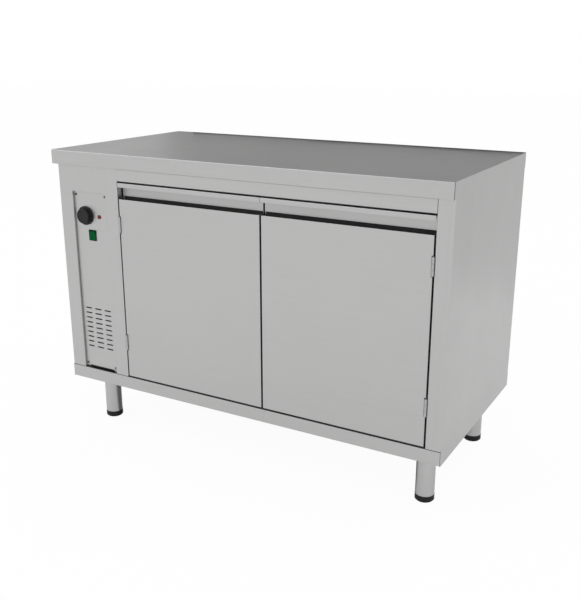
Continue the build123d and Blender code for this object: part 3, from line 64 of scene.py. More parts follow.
class Wiring:
    """A node tree that is being wired.

    Attributes:
        tree: the tree.
    """

    def __init__(self, tree: bpy.types.NodeTree) -> None:
        """Starts on an empty tree.

        Args:
            tree: the node tree of a material, a world or a group.
        """
        self.tree = tree

    @classmethod
    def of(cls, owner: bpy.types.Material | bpy.types.World) -> "Wiring":
        """Empties the node tree of a material or a world and starts on it.

        Args:
            owner: the material or world.

        Returns:
            Its wiring.
        """
        owner.use_nodes = True
        owner.node_tree.nodes.clear()
        return cls(owner.node_tree)

    def feed(self, node: bpy.types.Node, socket: str | int, value: object) -> None:
        """Sets an input of a node.

        Args:
            node: the node.
            socket: the input's name or number.
            value: its value, or the output that drives it.
        """
        if isinstance(value, bpy.types.NodeSocket):
            self.tree.links.new(value, node.inputs[socket])
        else:
            node.inputs[socket].default_value = value

    def add(self, kind: str, feeds: dict | None = None, **settings: object) -> bpy.types.Node:
        """Adds a node, sets it and feeds its sockets.

        Args:
            kind: Blender's name of the node type.
            feeds: socket name or number to a value, or to the output that drives it.
            settings: properties of the node itself.

        Returns:
            The new node.
        """
        node = self.tree.nodes.new(kind)
        for name, value in settings.items():
            setattr(node, name, value)
        for socket, value in (feeds or {}).items():
            self.feed(node, socket, value)
        return node

    def calc(self, kind: str, first: object, second: object, clamp: bool = False) -> bpy.types.NodeSocket:
        """Adds a Math node.

        Args:
            kind: the operation, such as MULTIPLY.
            first: first value or output.
            second: second value or output.
            clamp: keep the result between 0 and 1.

        Returns:
            Its result.
        """
        node = self.add("ShaderNodeMath", {0: first, 1: second}, operation=kind, use_clamp=clamp)
        return node.outputs[0]

    def mixed(self, first: object, share: float, second: object) -> bpy.types.NodeSocket:
        """Adds two masks in unequal shares.

        Args:
            first: first mask.
            share: its share of the sum.
            second: second mask, which has the rest.

        Returns:
            The sum.
        """
        return self.calc("ADD", self.calc("MULTIPLY", first, share),
                         self.calc("MULTIPLY", second, round(1.0 - share, 6)))

    def noise(self, place: object, scale: float, detail: float,
              roughness: float = 0.5) -> bpy.types.NodeSocket:
        """Adds a noise texture.

        Args:
            place: coordinates.
            scale: how fine the noise is.
            detail: number of finer layers.
            roughness: weight of the finer layers.

        Returns:
            Its grey value.
        """
        feeds = {"Vector": place, "Scale": scale, "Detail": detail, "Roughness": roughness}
        return self.add("ShaderNodeTexNoise", feeds).outputs["Fac"]

    def spread(self, value: object, low: float, high: float, to_low: float = 0.0,
               to_high: float = 1.0) -> bpy.types.NodeSocket:
        """Adds a clamped Map Range node.

        Args:
            value: what is mapped.
            low: value that becomes to_low.
            high: value that becomes to_high.
            to_low: result at low.
            to_high: result at high.

        Returns:
            The mapped value.
        """
        feeds = {"Value": value, "From Min": low, "From Max": high, "To Min": to_low, "To Max": to_high}
        return self.add("ShaderNodeMapRange", feeds).outputs["Result"]

    def blend(self, factor: object, first: object, second: object) -> bpy.types.NodeSocket:
        """Adds a colour Mix node.

        Args:
            factor: share of the second colour.
            first: colour, or an output.
            second: colour, or an output.

        Returns:
            The mixed colour.
        """
        feeds = {0: factor}
        for socket, colour in ((6, first), (7, second)):
            feeds[socket] = colour if isinstance(colour, bpy.types.NodeSocket) else (*colour, 1.0)
        return self.add("ShaderNodeMix", feeds, data_type="RGBA").outputs[2]

    def bump(self, height: object, normal: object = None, *, strength: float,
             distance: float) -> bpy.types.NodeSocket:
        """Adds a Bump node.

        Args:
            height: the relief, from 0 to 1.
            normal: the normal that it changes, if not the surface's own.
            strength: how strongly it shows.
            distance: how deep it is.

        Returns:
            The changed normal.
        """
        feeds = {"Strength": strength, "Distance": distance, "Height": height}
        if normal is not None:
            feeds["Normal"] = normal
        return self.add("ShaderNodeBump", feeds).outputs[0]

    def glow(self, grey: float = 1.0) -> bpy.types.NodeSocket:
        """Adds an even grey emission.

        Args:
            grey: its brightness, where 1 is white.

        Returns:
            Its shader.
        """
        return self.add("ShaderNodeEmission", {"Color": (grey, grey, grey, 1.0), "Strength": 1.0}).outputs[0]


class Effect:
    """A shader group that several finishes share, made once.

    Attributes:
        label: the group's name.
        inputs: what goes in.
        outputs: what comes out.
        vectors: the names among them that are vectors and not numbers.
        made: the groups that are made already, by their names.
    """

    label: str
    inputs: tuple[str, ...] = ("Place",)
    outputs: tuple[str, ...] = ("Height", "Tone")
    vectors: tuple[str, ...] = ("Place", "Stretch", "Normal")
    made: dict[str, bpy.types.NodeTree] = {}

    @staticmethod
    def wire(w: Wiring, given: Sockets) -> dict[str, bpy.types.NodeSocket]:
        """Wires the group.

        Args:
            w: the group's wiring.
            given: its input sockets.

        Returns:
            Its output sockets by name.
        """
        raise NotImplementedError

    @classmethod
    def tree(cls) -> bpy.types.NodeTree:
        """Makes the group, or finds it where it is made already.

        Returns:
            The group's tree.
        """
        if cls.label not in Effect.made:
            tree = bpy.data.node_groups.new(cls.label, "ShaderNodeTree")
            for way, names in (("INPUT", cls.inputs), ("OUTPUT", cls.outputs)):
                for name in names:
                    kind = "NodeSocketVector" if name in cls.vectors else "NodeSocketFloat"
                    tree.interface.new_socket(name, in_out=way, socket_type=kind)
            w = Wiring(tree)
            w.add("NodeGroupOutput", cls.wire(w, w.add("NodeGroupInput").outputs))
            Effect.made[cls.label] = tree
        return Effect.made[cls.label]

    @classmethod
    def use(cls, w: Wiring, **feeds: object) -> Sockets:
        """Places the effect in a material.

        Args:
            w: the material's wiring.
            feeds: values or outputs for its inputs.

        Returns:
            The outputs of its group node.
        """
        return w.add("ShaderNodeGroup", feeds, node_tree=cls.tree()).outputs


class BrushedGrain(Effect):
    """Fine drawn grain: a height and a tone that run along the sheet."""

    label = "brushed_grain"
    inputs = ("Place", "Stretch")

    @staticmethod
    def wire(w: Wiring, given: Sockets) -> dict[str, bpy.types.NodeSocket]:
        """Stretches two layers of noise along the grain.

        Args:
            w: the group's wiring.
            given: its input sockets.

        Returns:
            Its output sockets by name.
        """
        feeds = {0: given["Place"], 1: given["Stretch"]}
        drawn = w.add("ShaderNodeVectorMath", feeds, operation="MULTIPLY").outputs[0]
        fine = w.noise(drawn, scale=1.0, detail=4.0, roughness=0.62)
        broad = w.noise(drawn, scale=0.11, detail=2.0)
        return {"Height": fine, "Tone": w.spread(w.mixed(fine, 0.8, broad), low=0.3, high=0.7)}


class HandlingMarks(Effect):
    """Wiped patches and cloudy marks, as a mask."""

    label = "handling_marks"
    outputs = ("Marks",)

    @staticmethod
    def wire(w: Wiring, given: Sockets) -> dict[str, bpy.types.NodeSocket]:
        """Adds wiped streaks to broad clouds.

        Args:
            w: the group's wiring.
            given: its input sockets.

        Returns:
            Its output sockets by name.
        """
        cloud = w.noise(given["Place"], scale=2.6, detail=3.0, roughness=0.55)
        wipe = w.noise(given["Place"], scale=9.0, detail=5.0, roughness=0.6)
        return {"Marks": w.spread(w.mixed(cloud, 0.65, wipe), low=0.38, high=0.62)}


class RoundedEdges(Effect):
    """Softened edges: the rounded normal, and a mask of where the surface turns."""

    label = "rounded_edges"
    inputs = ("Radius",)
    outputs = ("Normal", "Edge")

    @staticmethod
    def wire(w: Wiring, given: Sockets) -> dict[str, bpy.types.NodeSocket]:
        """Sets the rounded normal against the flat one.

        Args:
            w: the group's wiring.
            given: its input sockets.

        Returns:
            Its output sockets by name.
        """
        rounded = w.add("ShaderNodeBevel", {"Radius": given["Radius"]}, samples=4).outputs[0]
        flat = w.add("ShaderNodeNewGeometry").outputs["True Normal"]
        turn = w.add("ShaderNodeVectorMath", {0: rounded, 1: flat}, operation="DOT_PRODUCT").outputs["Value"]
        return {"Normal": rounded, "Edge": w.spread(turn, low=0.97, high=0.80)}


class MouldedSkin(Effect):
    """Spark-textured plastic skin: a height and a slow change of tone."""

    label = "moulded_skin"

    @staticmethod
    def wire(w: Wiring, given: Sockets) -> dict[str, bpy.types.NodeSocket]:
        """Lays fine pimples over slow flow marks.

        Args:
            w: the group's wiring.
            given: its input sockets.

        Returns:
            Its output sockets by name.
        """
        flow = w.noise(given["Place"], scale=60.0, detail=3.0)
        pimples = w.noise(given["Place"], scale=1500.0, detail=2.0)
        return {"Height": pimples, "Tone": w.spread(flow, low=0.35, high=0.65)}


class SettledDust(Effect):
    """Dust that lies on what faces up, as a mask."""

    label = "settled_dust"
    outputs = ("Dust",)

    @staticmethod
    def wire(w: Wiring, given: Sockets) -> dict[str, bpy.types.NodeSocket]:
        """Keeps speckles where the surface faces up.

        Args:
            w: the group's wiring.
            given: its input sockets.

        Returns:
            Its output sockets by name.
        """
        facing = w.add("ShaderNodeSeparateXYZ", {0: w.add("ShaderNodeNewGeometry").outputs["Normal"]})
        upward = w.spread(facing.outputs["Z"], low=0.3, high=1.0)
        grit = w.noise(given["Place"], scale=240.0, detail=5.0, roughness=0.7)
        speckle = w.spread(grit, low=0.4, high=0.75)
        return {"Dust": w.calc("MULTIPLY", upward, speckle, clamp=True)}


class MattedFibre(Effect):
    """Tangled fibre: a height and a tone."""

    label = "matted_fibre"

    @staticmethod
    def wire(w: Wiring, given: Sockets) -> dict[str, bpy.types.NodeSocket]:
        """Adds bent strands to a slow unevenness.

        Args:
            w: the group's wiring.
            given: its input sockets.

        Returns:
            Its output sockets by name.
        """
        clumps = w.noise(given["Place"], scale=40.0, detail=3.0, roughness=0.6)
        aside = w.add("ShaderNodeVectorMath", {0: given["Place"], 1: (0.02, 0.02, 0.02)}, operation="ADD")
        strand = w.add("ShaderNodeTexWave", {"Vector": aside.outputs[0], "Scale": 130.0, "Distortion": 14.0,
                                             "Detail": 3.0, "Detail Scale": 2.0}).outputs["Fac"]
        tone = w.mixed(clumps, 0.5, strand)
        return {"Height": tone, "Tone": tone}


# ------------------------------------------------------------------ finishes

class Grain(Enum):
    """Which way a brushed sheet's grain runs: how fine it is along X, Y and Z."""

    ALONG_X = (5.0, 620.0, 620.0)
    ALONG_Y = (620.0, 5.0, 620.0)
    ALONG_Z = (620.0, 620.0, 5.0)


@dataclass(frozen=True)
class Finish:
    """What every finish has.

    Attributes:
        name: its name.
        colour: its main colour.
        roughness: its middle roughness.
    """

    name: str
    colour: Colour
    roughness: float

    def make(self) -> bpy.types.Material:
        """Makes the material.

        Returns:
            The material, with the finish's surface on its one shader.
        """
        material = bpy.data.materials.new(self.name)
        w = Wiring.of(material)
        shader = w.add("ShaderNodeBsdfPrincipled", self.plain())
        w.add("ShaderNodeOutputMaterial", {"Surface": shader.outputs[0]})
        surface = self.surface(w, w.add("ShaderNodeTexCoord").outputs["Object"])
        for socket, value in zip(("Base Color", "Roughness", "Normal"), surface):
            w.feed(shader, socket, value)
        return material

    def plain(self) -> dict[str, float]:
        """The shader's values that are the same all over the surface."""
        return {}

    def surface(self, w: Wiring, place: bpy.types.NodeSocket) -> tuple[bpy.types.NodeSocket, ...]:
        """Wires what changes over the surface.

        Args:
            w: the material's wiring.
            place: the Object coordinates.

        Returns:
            Colour, roughness and normal.
        """
        raise NotImplementedError

    def shades(self, factor: float) -> Colour:
        """The finish's colour made lighter or darker."""
        red, green, blue = self.colour
        return (min(1.0, red * factor), min(1.0, green * factor), min(1.0, blue * factor))

    def swung(self, w: Wiring, mask: object, swing: float) -> bpy.types.NodeSocket:
        """Swings the colour by a mask.

        Args:
            w: the material's wiring.
            mask: from 0, darkest, to 1, lightest.
            swing: how much darker or lighter it gets.

        Returns:
            The colour.
        """
        return w.blend(mask, self.shades(1.0 - swing), self.shades(1.0 + swing))

    def rough(self, w: Wiring, mask: object, less: float, more: float) -> bpy.types.NodeSocket:
        """Spreads the roughness by a mask.

        Args:
            w: the material's wiring.
            mask: from 0 to 1.
            less: how much lower the roughness is at 0.
            more: how much higher it is at 1.

        Returns:
            The roughness.
        """
        return w.spread(mask, 0.0, 1.0, self.roughness - less, self.roughness + more)


@dataclass(frozen=True)
class BrushedSteel(Finish):
    """Satin stainless sheet, with grain one way, wiped marks and lightly rounded edges.

    Attributes:
        grain: which way the grain runs.
        grain_depth: its depth.
        swing: how much its tone swings round the colour.
        drag: how much rougher its light streaks are.
        edge: radius of the rounded edges.
        polish: how much lighter they are.
    """

    grain: Grain = Grain.ALONG_X
    grain_depth: float = 0.00002
    swing: float = 0.03
    drag: float = 0.06
    edge: float = 0.0009
    polish: float = 1.12

    def plain(self) -> dict[str, float]:
        """Bare metal."""
        return {"Metallic": 1.0}

    def surface(self, w: Wiring, place: bpy.types.NodeSocket) -> tuple[bpy.types.NodeSocket, ...]:
        """Wires grain, marks and edges.

        Args:
            w: the material's wiring.
            place: the Object coordinates.

        Returns:
            Colour, roughness and normal.
        """
        grain = BrushedGrain.use(w, Place=place, Stretch=self.grain.value)
        marks = HandlingMarks.use(w, Place=place)
        edges = RoundedEdges.use(w, Radius=self.edge)
        tone = self.swung(w, grain["Tone"], self.swing)
        wiped = self.rough(w, marks["Marks"], less=0.03, more=0.05)
        streaks = w.calc("MULTIPLY", grain["Tone"], self.drag)
        return (w.blend(edges["Edge"], tone, self.shades(self.polish)),
                w.calc("ADD", wiped, streaks, clamp=True),
                w.bump(grain["Height"], edges["Normal"], strength=0.35, distance=self.grain_depth))


@dataclass(frozen=True)
class PlainMetal(Finish):
    """Turned, drawn, zinc-coated or heat-darkened metal with a mottled surface.

    Attributes:
        second: the other colour of its spangle.
        mottle: how fine the spangle is.
        edge: radius of the rounded edges.
        polish: how much lighter they are.
    """

    second: Colour = (0.3, 0.3, 0.3)
    mottle: float = 90.0
    edge: float = 0.0004
    polish: float = 1.3

    def plain(self) -> dict[str, float]:
        """Bare metal."""
        return {"Metallic": 1.0}

    def surface(self, w: Wiring, place: bpy.types.NodeSocket) -> tuple[bpy.types.NodeSocket, ...]:
        """Wires spangle, marks and edges.

        Args:
            w: the material's wiring.
            place: the Object coordinates.

        Returns:
            Colour, roughness and normal.
        """
        marks = HandlingMarks.use(w, Place=place)
        edges = RoundedEdges.use(w, Radius=self.edge)
        spangle = w.spread(w.noise(place, self.mottle, detail=4.0, roughness=0.6), low=0.35, high=0.65)
        tone = w.blend(spangle, self.colour, self.second)
        return (w.blend(edges["Edge"], tone, self.shades(self.polish)),
                self.rough(w, marks["Marks"], less=0.05, more=0.08),
                w.bump(spangle, edges["Normal"], strength=0.3, distance=0.0001))


@dataclass(frozen=True)
class MouldedPlastic(Finish):
    """Moulded plastic with a fine spark texture, rubbed edges and a little dust.

    Attributes:
        dust: share of dust on what faces up.
        rub: how much lighter a rubbed edge is.
        rub_share: how strongly the rubbing shows.
        edge: radius of the rounded edges.
        shine: the shader's specular level.
        swing: how much its tone swings round the colour.
        dust_colour: colour of the dust.
    """

    dust: float = 0.25
    rub: float = 2.2
    rub_share: float = 0.4
    edge: float = 0.0005
    shine: float = 0.5
    swing: float = 0.15
    dust_colour: Colour = (0.42, 0.41, 0.39)

    def plain(self) -> dict[str, float]:
        """An even specular level."""
        return {"Specular IOR Level": self.shine}

    def surface(self, w: Wiring, place: bpy.types.NodeSocket) -> tuple[bpy.types.NodeSocket, ...]:
        """Wires skin, rubbed edges and dust.

        Args:
            w: the material's wiring.
            place: the Object coordinates.

        Returns:
            Colour, roughness and normal.
        """
        skin = MouldedSkin.use(w, Place=place)
        edges = RoundedEdges.use(w, Radius=self.edge)
        dust = SettledDust.use(w, Place=place)
        tone = self.swung(w, skin["Tone"], self.swing)
        rubbed = w.blend(w.calc("MULTIPLY", edges["Edge"], self.rub_share), tone, self.shades(self.rub))
        return (w.blend(w.calc("MULTIPLY", dust["Dust"], self.dust), rubbed, self.dust_colour),
                self.rough(w, skin["Tone"], less=0.04, more=0.06),
                w.bump(skin["Height"], edges["Normal"], strength=0.2, distance=0.00008))


@dataclass(frozen=True)
class TintedLens(Finish):
    """Glossy coloured plastic that looks deeper at its edges.

    Attributes:
        depth: colour at the edges.
        coat: weight of the clear coat.
        shine: the shader's specular level.
        swing: how much its tone swings round the colour.
        edge: radius of the rounded edges.
    """

    depth: Colour = (0.1, 0.0, 0.0)
    coat: float = 0.15
    shine: float = 0.3
    swing: float = 0.15
    edge: float = 0.0005

    def plain(self) -> dict[str, float]:
        """An even coat and specular level."""
        return {"Coat Weight": self.coat, "Coat Roughness": 0.08, "Specular IOR Level": self.shine}

    def surface(self, w: Wiring, place: bpy.types.NodeSocket) -> tuple[bpy.types.NodeSocket, ...]:
        """Wires skin and edges.

        Args:
            w: the material's wiring.
            place: the Object coordinates.

        Returns:
            Colour, roughness and normal.
        """
        skin = MouldedSkin.use(w, Place=place)
        edges = RoundedEdges.use(w, Radius=self.edge)
        tone = self.swung(w, skin["Tone"], self.swing)
        return (w.blend(edges["Edge"], tone, self.depth),
                self.rough(w, skin["Tone"], less=0.0, more=0.08),
                w.bump(skin["Height"], edges["Normal"], strength=0.1, distance=0.00005))


@dataclass(frozen=True)
class FibreMat(Finish):
    """Mineral wool or pressed board: matted fibre with a dry, uneven surface.

    Attributes:
        second: colour between the strands.
        relief: depth of the matting.
        patch: share and lightness of the lighter patches.
    """

    second: Colour = (0.4, 0.35, 0.2)
    relief: float = 0.0015
    patch: tuple[float, float] = (0.3, 1.2)

    def surface(self, w: Wiring, place: bpy.types.NodeSocket) -> tuple[bpy.types.NodeSocket, ...]:
        """Wires strands and lighter patches.

        Args:
            w: the material's wiring.
            place: the Object coordinates.

        Returns:
            Colour, roughness and normal.
        """
        fibre = MattedFibre.use(w, Place=place)
        patch = w.spread(w.noise(place, scale=12.0, detail=4.0, roughness=0.6), low=0.3, high=0.7)
        tone = w.blend(fibre["Tone"], self.second, self.colour)
        share, light = self.patch
        return (w.blend(w.calc("MULTIPLY", patch, share), tone, self.shades(light)),
                self.rough(w, patch, less=0.05, more=0.05),
                w.bump(fibre["Height"], strength=0.7, distance=self.relief))


STEEL: Colour = (0.50, 0.50, 0.497)
FINISHES = {
    finish.name: finish
    for finish in (
        BrushedSteel("steel_along_x", STEEL, 0.34),
        BrushedSteel("steel_along_y", STEEL, 0.34, grain=Grain.ALONG_Y),
        BrushedSteel("steel_along_z", STEEL, 0.34, grain=Grain.ALONG_Z),
        BrushedSteel("worktop_steel", STEEL, 0.30),
        # painted shade: a darker copy of the brushed steel for the grip plate, standing in for the shade
        # inside the pull recess
        BrushedSteel("grip_shaded_steel", (0.46, 0.46, 0.457), 0.34),
        BrushedSteel("leg_steel", STEEL, 0.30, grain=Grain.ALONG_Z),
        BrushedSteel("hinge_steel", (0.44, 0.44, 0.44), 0.32, grain=Grain.ALONG_Z, edge=0.0005),
        # painted shade: the screw heads are near-black as a whole, standing in for the shade of their small
        # cross recesses; the hexagon heads and leg bolts share this finish
        PlainMetal("screw_steel", (0.10, 0.10, 0.10), 0.35, second=(0.14, 0.14, 0.137), mottle=300.0),
        PlainMetal("zinc_sheet", (0.50, 0.52, 0.54), 0.38, second=(0.40, 0.42, 0.45)),
        PlainMetal("heater_steel", (0.34, 0.31, 0.28), 0.5, second=(0.22, 0.2, 0.2)),
        PlainMetal("copper_tube", (0.72, 0.42, 0.28), 0.3, second=(0.6, 0.33, 0.22)),
        PlainMetal("turned_brass", (0.75, 0.62, 0.36), 0.25, second=(0.66, 0.52, 0.28)),
        MouldedPlastic("motor_enamel", (0.05, 0.05, 0.055), 0.35),
        MouldedPlastic("black_plastic", (0.008, 0.008, 0.009), 0.4, dust=0.05, shine=0.25),
        MouldedPlastic("knob_plastic", (0.005, 0.005, 0.0055), 0.38, dust=0.0, rub=2.0, shine=0.3),
        MouldedPlastic("foot_plastic", (0.009, 0.009, 0.010), 0.5, dust=0.06, shine=0.25),
        MouldedPlastic("ivory_plastic", (0.70, 0.68, 0.62), 0.42, rub=1.1),
        MouldedPlastic("lamp_bezel", (0.16, 0.012, 0.014), 0.3, dust=0.0, shine=0.3),
        TintedLens("lamp_red", (0.17, 0.008, 0.012), 0.2, depth=(0.07, 0.002, 0.004)),
        TintedLens("rocker_green", (0.0, 0.070, 0.020), 0.36, depth=(0.0, 0.03, 0.009), coat=0.0, shine=0.04),
        FibreMat("mineral_wool", (0.60, 0.55, 0.36), 0.9, second=(0.36, 0.31, 0.17)),
        # painted shade: the doors' insulation is near-black so that the grip slot behind the hem reads as
        # deep shade
        FibreMat("painted_shade_fleece", (0.022, 0.022, 0.022), 0.95, second=(0.012, 0.012, 0.012), relief=0.0006),
        FibreMat("core_board", (0.55, 0.42, 0.27), 0.85, second=(0.34, 0.23, 0.13), relief=0.0006),
    )
}


class FinishShop:
    """Makes each finish once and gives it out.

    Attributes:
        made: the materials that are made already, by their names.
    """

    made: dict[str, bpy.types.Material] = {}

    @classmethod
    def get(cls, name: str) -> bpy.types.Material:
        """Finds a finish's material, or makes it.

        Args:
            name: the finish's name.

        Returns:
            The material.
        """
        if name not in cls.made:
            cls.made[name] = FINISHES[name].make()
        return cls.made[name]

    @classmethod
    def dress(cls, finish: str, *nodes: str) -> None:
        """Puts a finish on carried-over nodes.

        Args:
            finish: the finish's name.
            nodes: names of the nodes.
        """
        for name in nodes:
            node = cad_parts[name]
            if not node.material_slots:
                node.data.materials.append(None)
            for slot in node.material_slots:
                slot.material = cls.get(finish)
            LOG.info("dressed %s with %s", name, finish)


# ------------------------------------------------------------------ modelling moves

FACING = 0.9  # cosine from which a face counts as facing a way
NEAR = 0.0005  # how near a place a vertex or a face counts as there
SMOOTH = 35.0  # angle in degrees up to which shading runs on over an edge
MICRONS = 1e6  # in a metre: corners of a mesh that round to the same ones are one corner


def middle(low: Point, high: Point) -> Point:
    """The point half way between two corners."""
    return tuple((a + b) / 2 for a, b in zip(low, high))


class Bench:
    """Modelling moves on one piece, made by operators."""

    @staticmethod
    def clear() -> None:
        """Leaves edit mode and deselects everything."""
        if bpy.context.mode != "OBJECT":
            bpy.ops.object.mode_set(mode="OBJECT")
        bpy.ops.object.select_all(action="DESELECT")

    @classmethod
    def focus(cls, piece: bpy.types.Object) -> None:
        """Makes a piece the only selected one, in object mode.

        Args:
            piece: the piece.
        """
        cls.clear()
        piece.select_set(True)
        bpy.context.view_layer.objects.active = piece

    @classmethod
    def settle(cls, piece: bpy.types.Object) -> None:
        """Applies a piece's place, turn and size to its mesh."""
        cls.focus(piece)
        bpy.ops.object.transform_apply(location=True, rotation=True, scale=True)

    @classmethod
    def slab(cls, name: str, low: Point, high: Point) -> bpy.types.Object:
        """Adds a cuboid between two corners.

        Args:
            name: the piece's name.
            low: lowest corner.
            high: highest corner.

        Returns:
            The piece.
        """
        cls.clear()
        bpy.ops.mesh.primitive_cube_add(size=1.0, location=middle(low, high))
        piece = bpy.context.object
        piece.name = name
        piece.scale = [b - a for a, b in zip(low, high)]
        cls.settle(piece)
        return piece

    @classmethod
    def disc(cls, name: str, radius: float, depth: float, centre: Point, along: str = "Z",
             sides: int = 48) -> bpy.types.Object:
        """Adds a cylinder.

        Args:
            name: the piece's name.
            radius: its radius.
            depth: its length.
            centre: its middle.
            along: the axis that it lies on.
            sides: number of sides.

        Returns:
            The piece.
        """
        cls.clear()
        turn = {"X": (0, math.pi / 2, 0), "Y": (math.pi / 2, 0, 0), "Z": (0, 0, 0)}[along]
        bpy.ops.mesh.primitive_cylinder_add(vertices=sides, radius=radius, depth=depth, location=centre,
                                            rotation=turn)
        piece = bpy.context.object
        piece.name = name
        cls.settle(piece)
        return piece

    @classmethod
    def edit(cls, piece: bpy.types.Object, mode: str = "FACE") -> None:
        """Opens a piece in edit mode with nothing selected.

        Args:
            piece: the piece.
            mode: VERT, EDGE or FACE.
        """
        cls.focus(piece)
        bpy.ops.object.mode_set(mode="EDIT")
        bpy.ops.mesh.select_mode(type=mode)
        bpy.ops.mesh.select_all(action="DESELECT")

    @staticmethod
    def pick(kind: str, test: Callable[[object], bool]) -> None:
        """Selects what passes a test in the piece being edited.

        Args:
            kind: verts, edges or faces.
            test: true for what is selected.
        """
        mesh = bmesh.from_edit_mesh(bpy.context.object.data)
        for item in getattr(mesh, kind):
            item.select_set(bool(test(item)))
        mesh.select_flush_mode()
        bmesh.update_edit_mesh(bpy.context.object.data)

    @classmethod
    def pick_front(cls) -> None:
        """Selects the faces that look to the front."""
        cls.pick("faces", lambda f: f.normal.y < -FACING)

    @staticmethod
    def move(step: Point) -> None:
        """Moves what is selected."""
        bpy.ops.transform.translate(value=step)

    @staticmethod
    def draw_out(step: Point) -> None:
        """Extrudes the selected faces and moves the new end."""
        bpy.ops.mesh.extrude_region_move(TRANSFORM_OT_translate={"value": step})

    @staticmethod
    def inset(by: float) -> None:
        """Insets the selected faces."""
        bpy.ops.mesh.inset(thickness=by, use_even_offset=True)

    @classmethod
    def modify(cls, piece: bpy.types.Object, kind: str, **settings: object) -> None:
        """Adds a modifier and applies it.

        Args:
            piece: the piece.
            kind: the modifier's type.
            settings: its properties.
        """
        cls.focus(piece)
        modifier = piece.modifiers.new(kind.lower(), kind)
        for name, value in settings.items():
            setattr(modifier, name, value)
        bpy.ops.object.modifier_apply(modifier=modifier.name)

    @classmethod
    def soften(cls, piece: bpy.types.Object, width: float, segments: int = 2, sharp: float = 40.0) -> None:
        """Rounds the sharp edges of a piece.

        Args:
            piece: the piece.
            width: width of the rounding.
            segments: number of its strips.
            sharp: angle in degrees from which an edge counts as sharp.
        """
        cls.modify(piece, "BEVEL", width=width, segments=segments, limit_method="ANGLE",
                   angle_limit=math.radians(sharp))

    @classmethod
    def copy(cls, piece: bpy.types.Object, name: str, shift: Point) -> bpy.types.Object:
        """Copies a finished piece with its own mesh and moves the mesh.

        Args:
            piece: what is copied.
            name: the copy's name.
            shift: how far it moves.

        Returns:
            The copy.
        """
        cls.focus(piece)
        bpy.ops.object.duplicate(linked=False)
        twin = bpy.context.object
        twin.name = name
        twin.location = shift
        cls.settle(twin)
        return twin

    @classmethod
    def join(cls, pieces: Sequence[bpy.types.Object], name: str) -> bpy.types.Object:
        """Joins pieces into one.

        Args:
            pieces: what is joined.
            name: the new piece's name.

        Returns:
            The joined piece.
        """
        cls.clear()
        for piece in pieces:
            piece.select_set(True)
        bpy.context.view_layer.objects.active = pieces[0]
        bpy.ops.object.join()
        whole = bpy.context.object
        whole.name = name
        return whole

    @classmethod
    def cut(cls, piece: bpy.types.Object, cutter: bpy.types.Object) -> None:
        """Cuts one piece out of another and removes the cutter."""
        cls.modify(piece, "BOOLEAN", operation="DIFFERENCE", solver="EXACT", object=cutter)
        bpy.data.objects.remove(cutter)

    @classmethod
    def hand_over(cls, piece: bpy.types.Object, body: str, slot: str, finish: str, *nodes: str) -> None:
        """Finishes a piece: smooth shading, its finish, the body it rides and the nodes it replaces.

        Args:
            piece: the piece.
            body: the body it rides.
            slot: the record's material slot; not used.
            finish: the finish's name.
            nodes: nodes that it stands for.
        """
        cls.focus(piece)
        bpy.ops.object.shade_smooth_by_angle(angle=math.radians(SMOOTH))
        cls.modify(piece, "WEIGHTED_NORMAL", mode="FACE_AREA", weight=50, keep_sharp=True)
        piece.data.materials.clear()
        piece.data.materials.append(FinishShop.get(finish))
        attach(piece, body)
        if nodes:
            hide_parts(*nodes)
        LOG.info("built %s: %d faces on %s", piece.name, len(piece.data.polygons), body)
        cls.clear()


class Lathe:
    """Turns a round piece: a disc whose end is drawn out step by step.

    It stays in edit mode until the next move on the whole piece, which leaves it.

    Attributes:
        piece: what is turned.
        axis: number of the axis that it turns about.
        about: a point on that axis.
    """

    def __init__(self, name: str, radius: float, depth: float, centre: Point, along: str, sides: int) -> None:
        """Puts the disc in.

        Args:
            name: the piece's name.
            radius: the disc's radius.
            depth: its length.
            centre: its middle.
            along: the axis that it turns about.
            sides: number of sides.
        """
        self.piece = Bench.disc(name, radius, depth, centre, along, sides)
        self.axis = "XYZ".index(along)
        self.about = self.spread(centre, 0.0)
        Bench.edit(self.piece)

    def spread(self, values: Point, at_axis: float) -> Point:
        """Three values with the one on the turning axis replaced."""
        return tuple(at_axis if axis == self.axis else value for axis, value in enumerate(values))

    def end(self, way: int) -> None:
        """Selects the end that faces up the axis, or down it where way is -1."""
        Bench.pick("faces", lambda f: way * f.normal[self.axis] > FACING)

    def step(self, rise: float, scale: float = 1.0) -> None:
        """Draws the end out.

        Args:
            rise: how far it moves along the axis.
            scale: how much wider it gets.
        """
        Bench.draw_out(self.spread((0.0, 0.0, 0.0), rise))
        if scale != 1.0:
            bpy.ops.transform.resize(value=self.spread((scale,) * 3, 1.0), center_override=self.about)

    def push(self, rise: float) -> None:
        """Moves the end along the axis."""
        Bench.move(self.spread((0.0, 0.0, 0.0), rise))


# ------------------------------------------------------------------ sub-assemblies

@dataclass
class Shell:
    """The folded body: worktop, side panels, rails, base and back.

    Attributes:
        along_x: sheets with their grain along X.
        along_z: sheets with their grain along Z.
    """

    along_x: tuple[str, ...] = ("top_rail", "bottom_rail", "base_pan", "back_panel")
    along_z: tuple[str, ...] = ("left_side_panel", "right_side_panel")

    def build(self) -> None:
        """Dresses the body's sheets."""
        FinishShop.dress("worktop_steel", "worktop_skin")
        FinishShop.dress("core_board", "worktop_core")
        FinishShop.dress("steel_along_x", *self.along_x)
        FinishShop.dress("steel_along_z", *self.along_z)


@dataclass
class Cavity:
    """The heated space: liner, shelf, clips, catches and insulation.

    Attributes:
        liner: the liner's sheets with their grain along X.
        walls: the walls at its ends, with their grain along Y.
    """

    liner: tuple[str, ...] = ("liner_floor", "liner_ceiling", "liner_back")
    walls: tuple[str, ...] = ("liner_right_wall", "partition_wall")

    def build(self) -> None:
        """Dresses the liner and what is in it."""
        FinishShop.dress("steel_along_x", *self.liner, "shelf")
        FinishShop.dress("steel_along_y", *self.walls, "air_guard", "shelf_clips")
        FinishShop.dress("mineral_wool", "cavity_insulation")
        FinishShop.dress("ivory_plastic", "magnetic_catches")


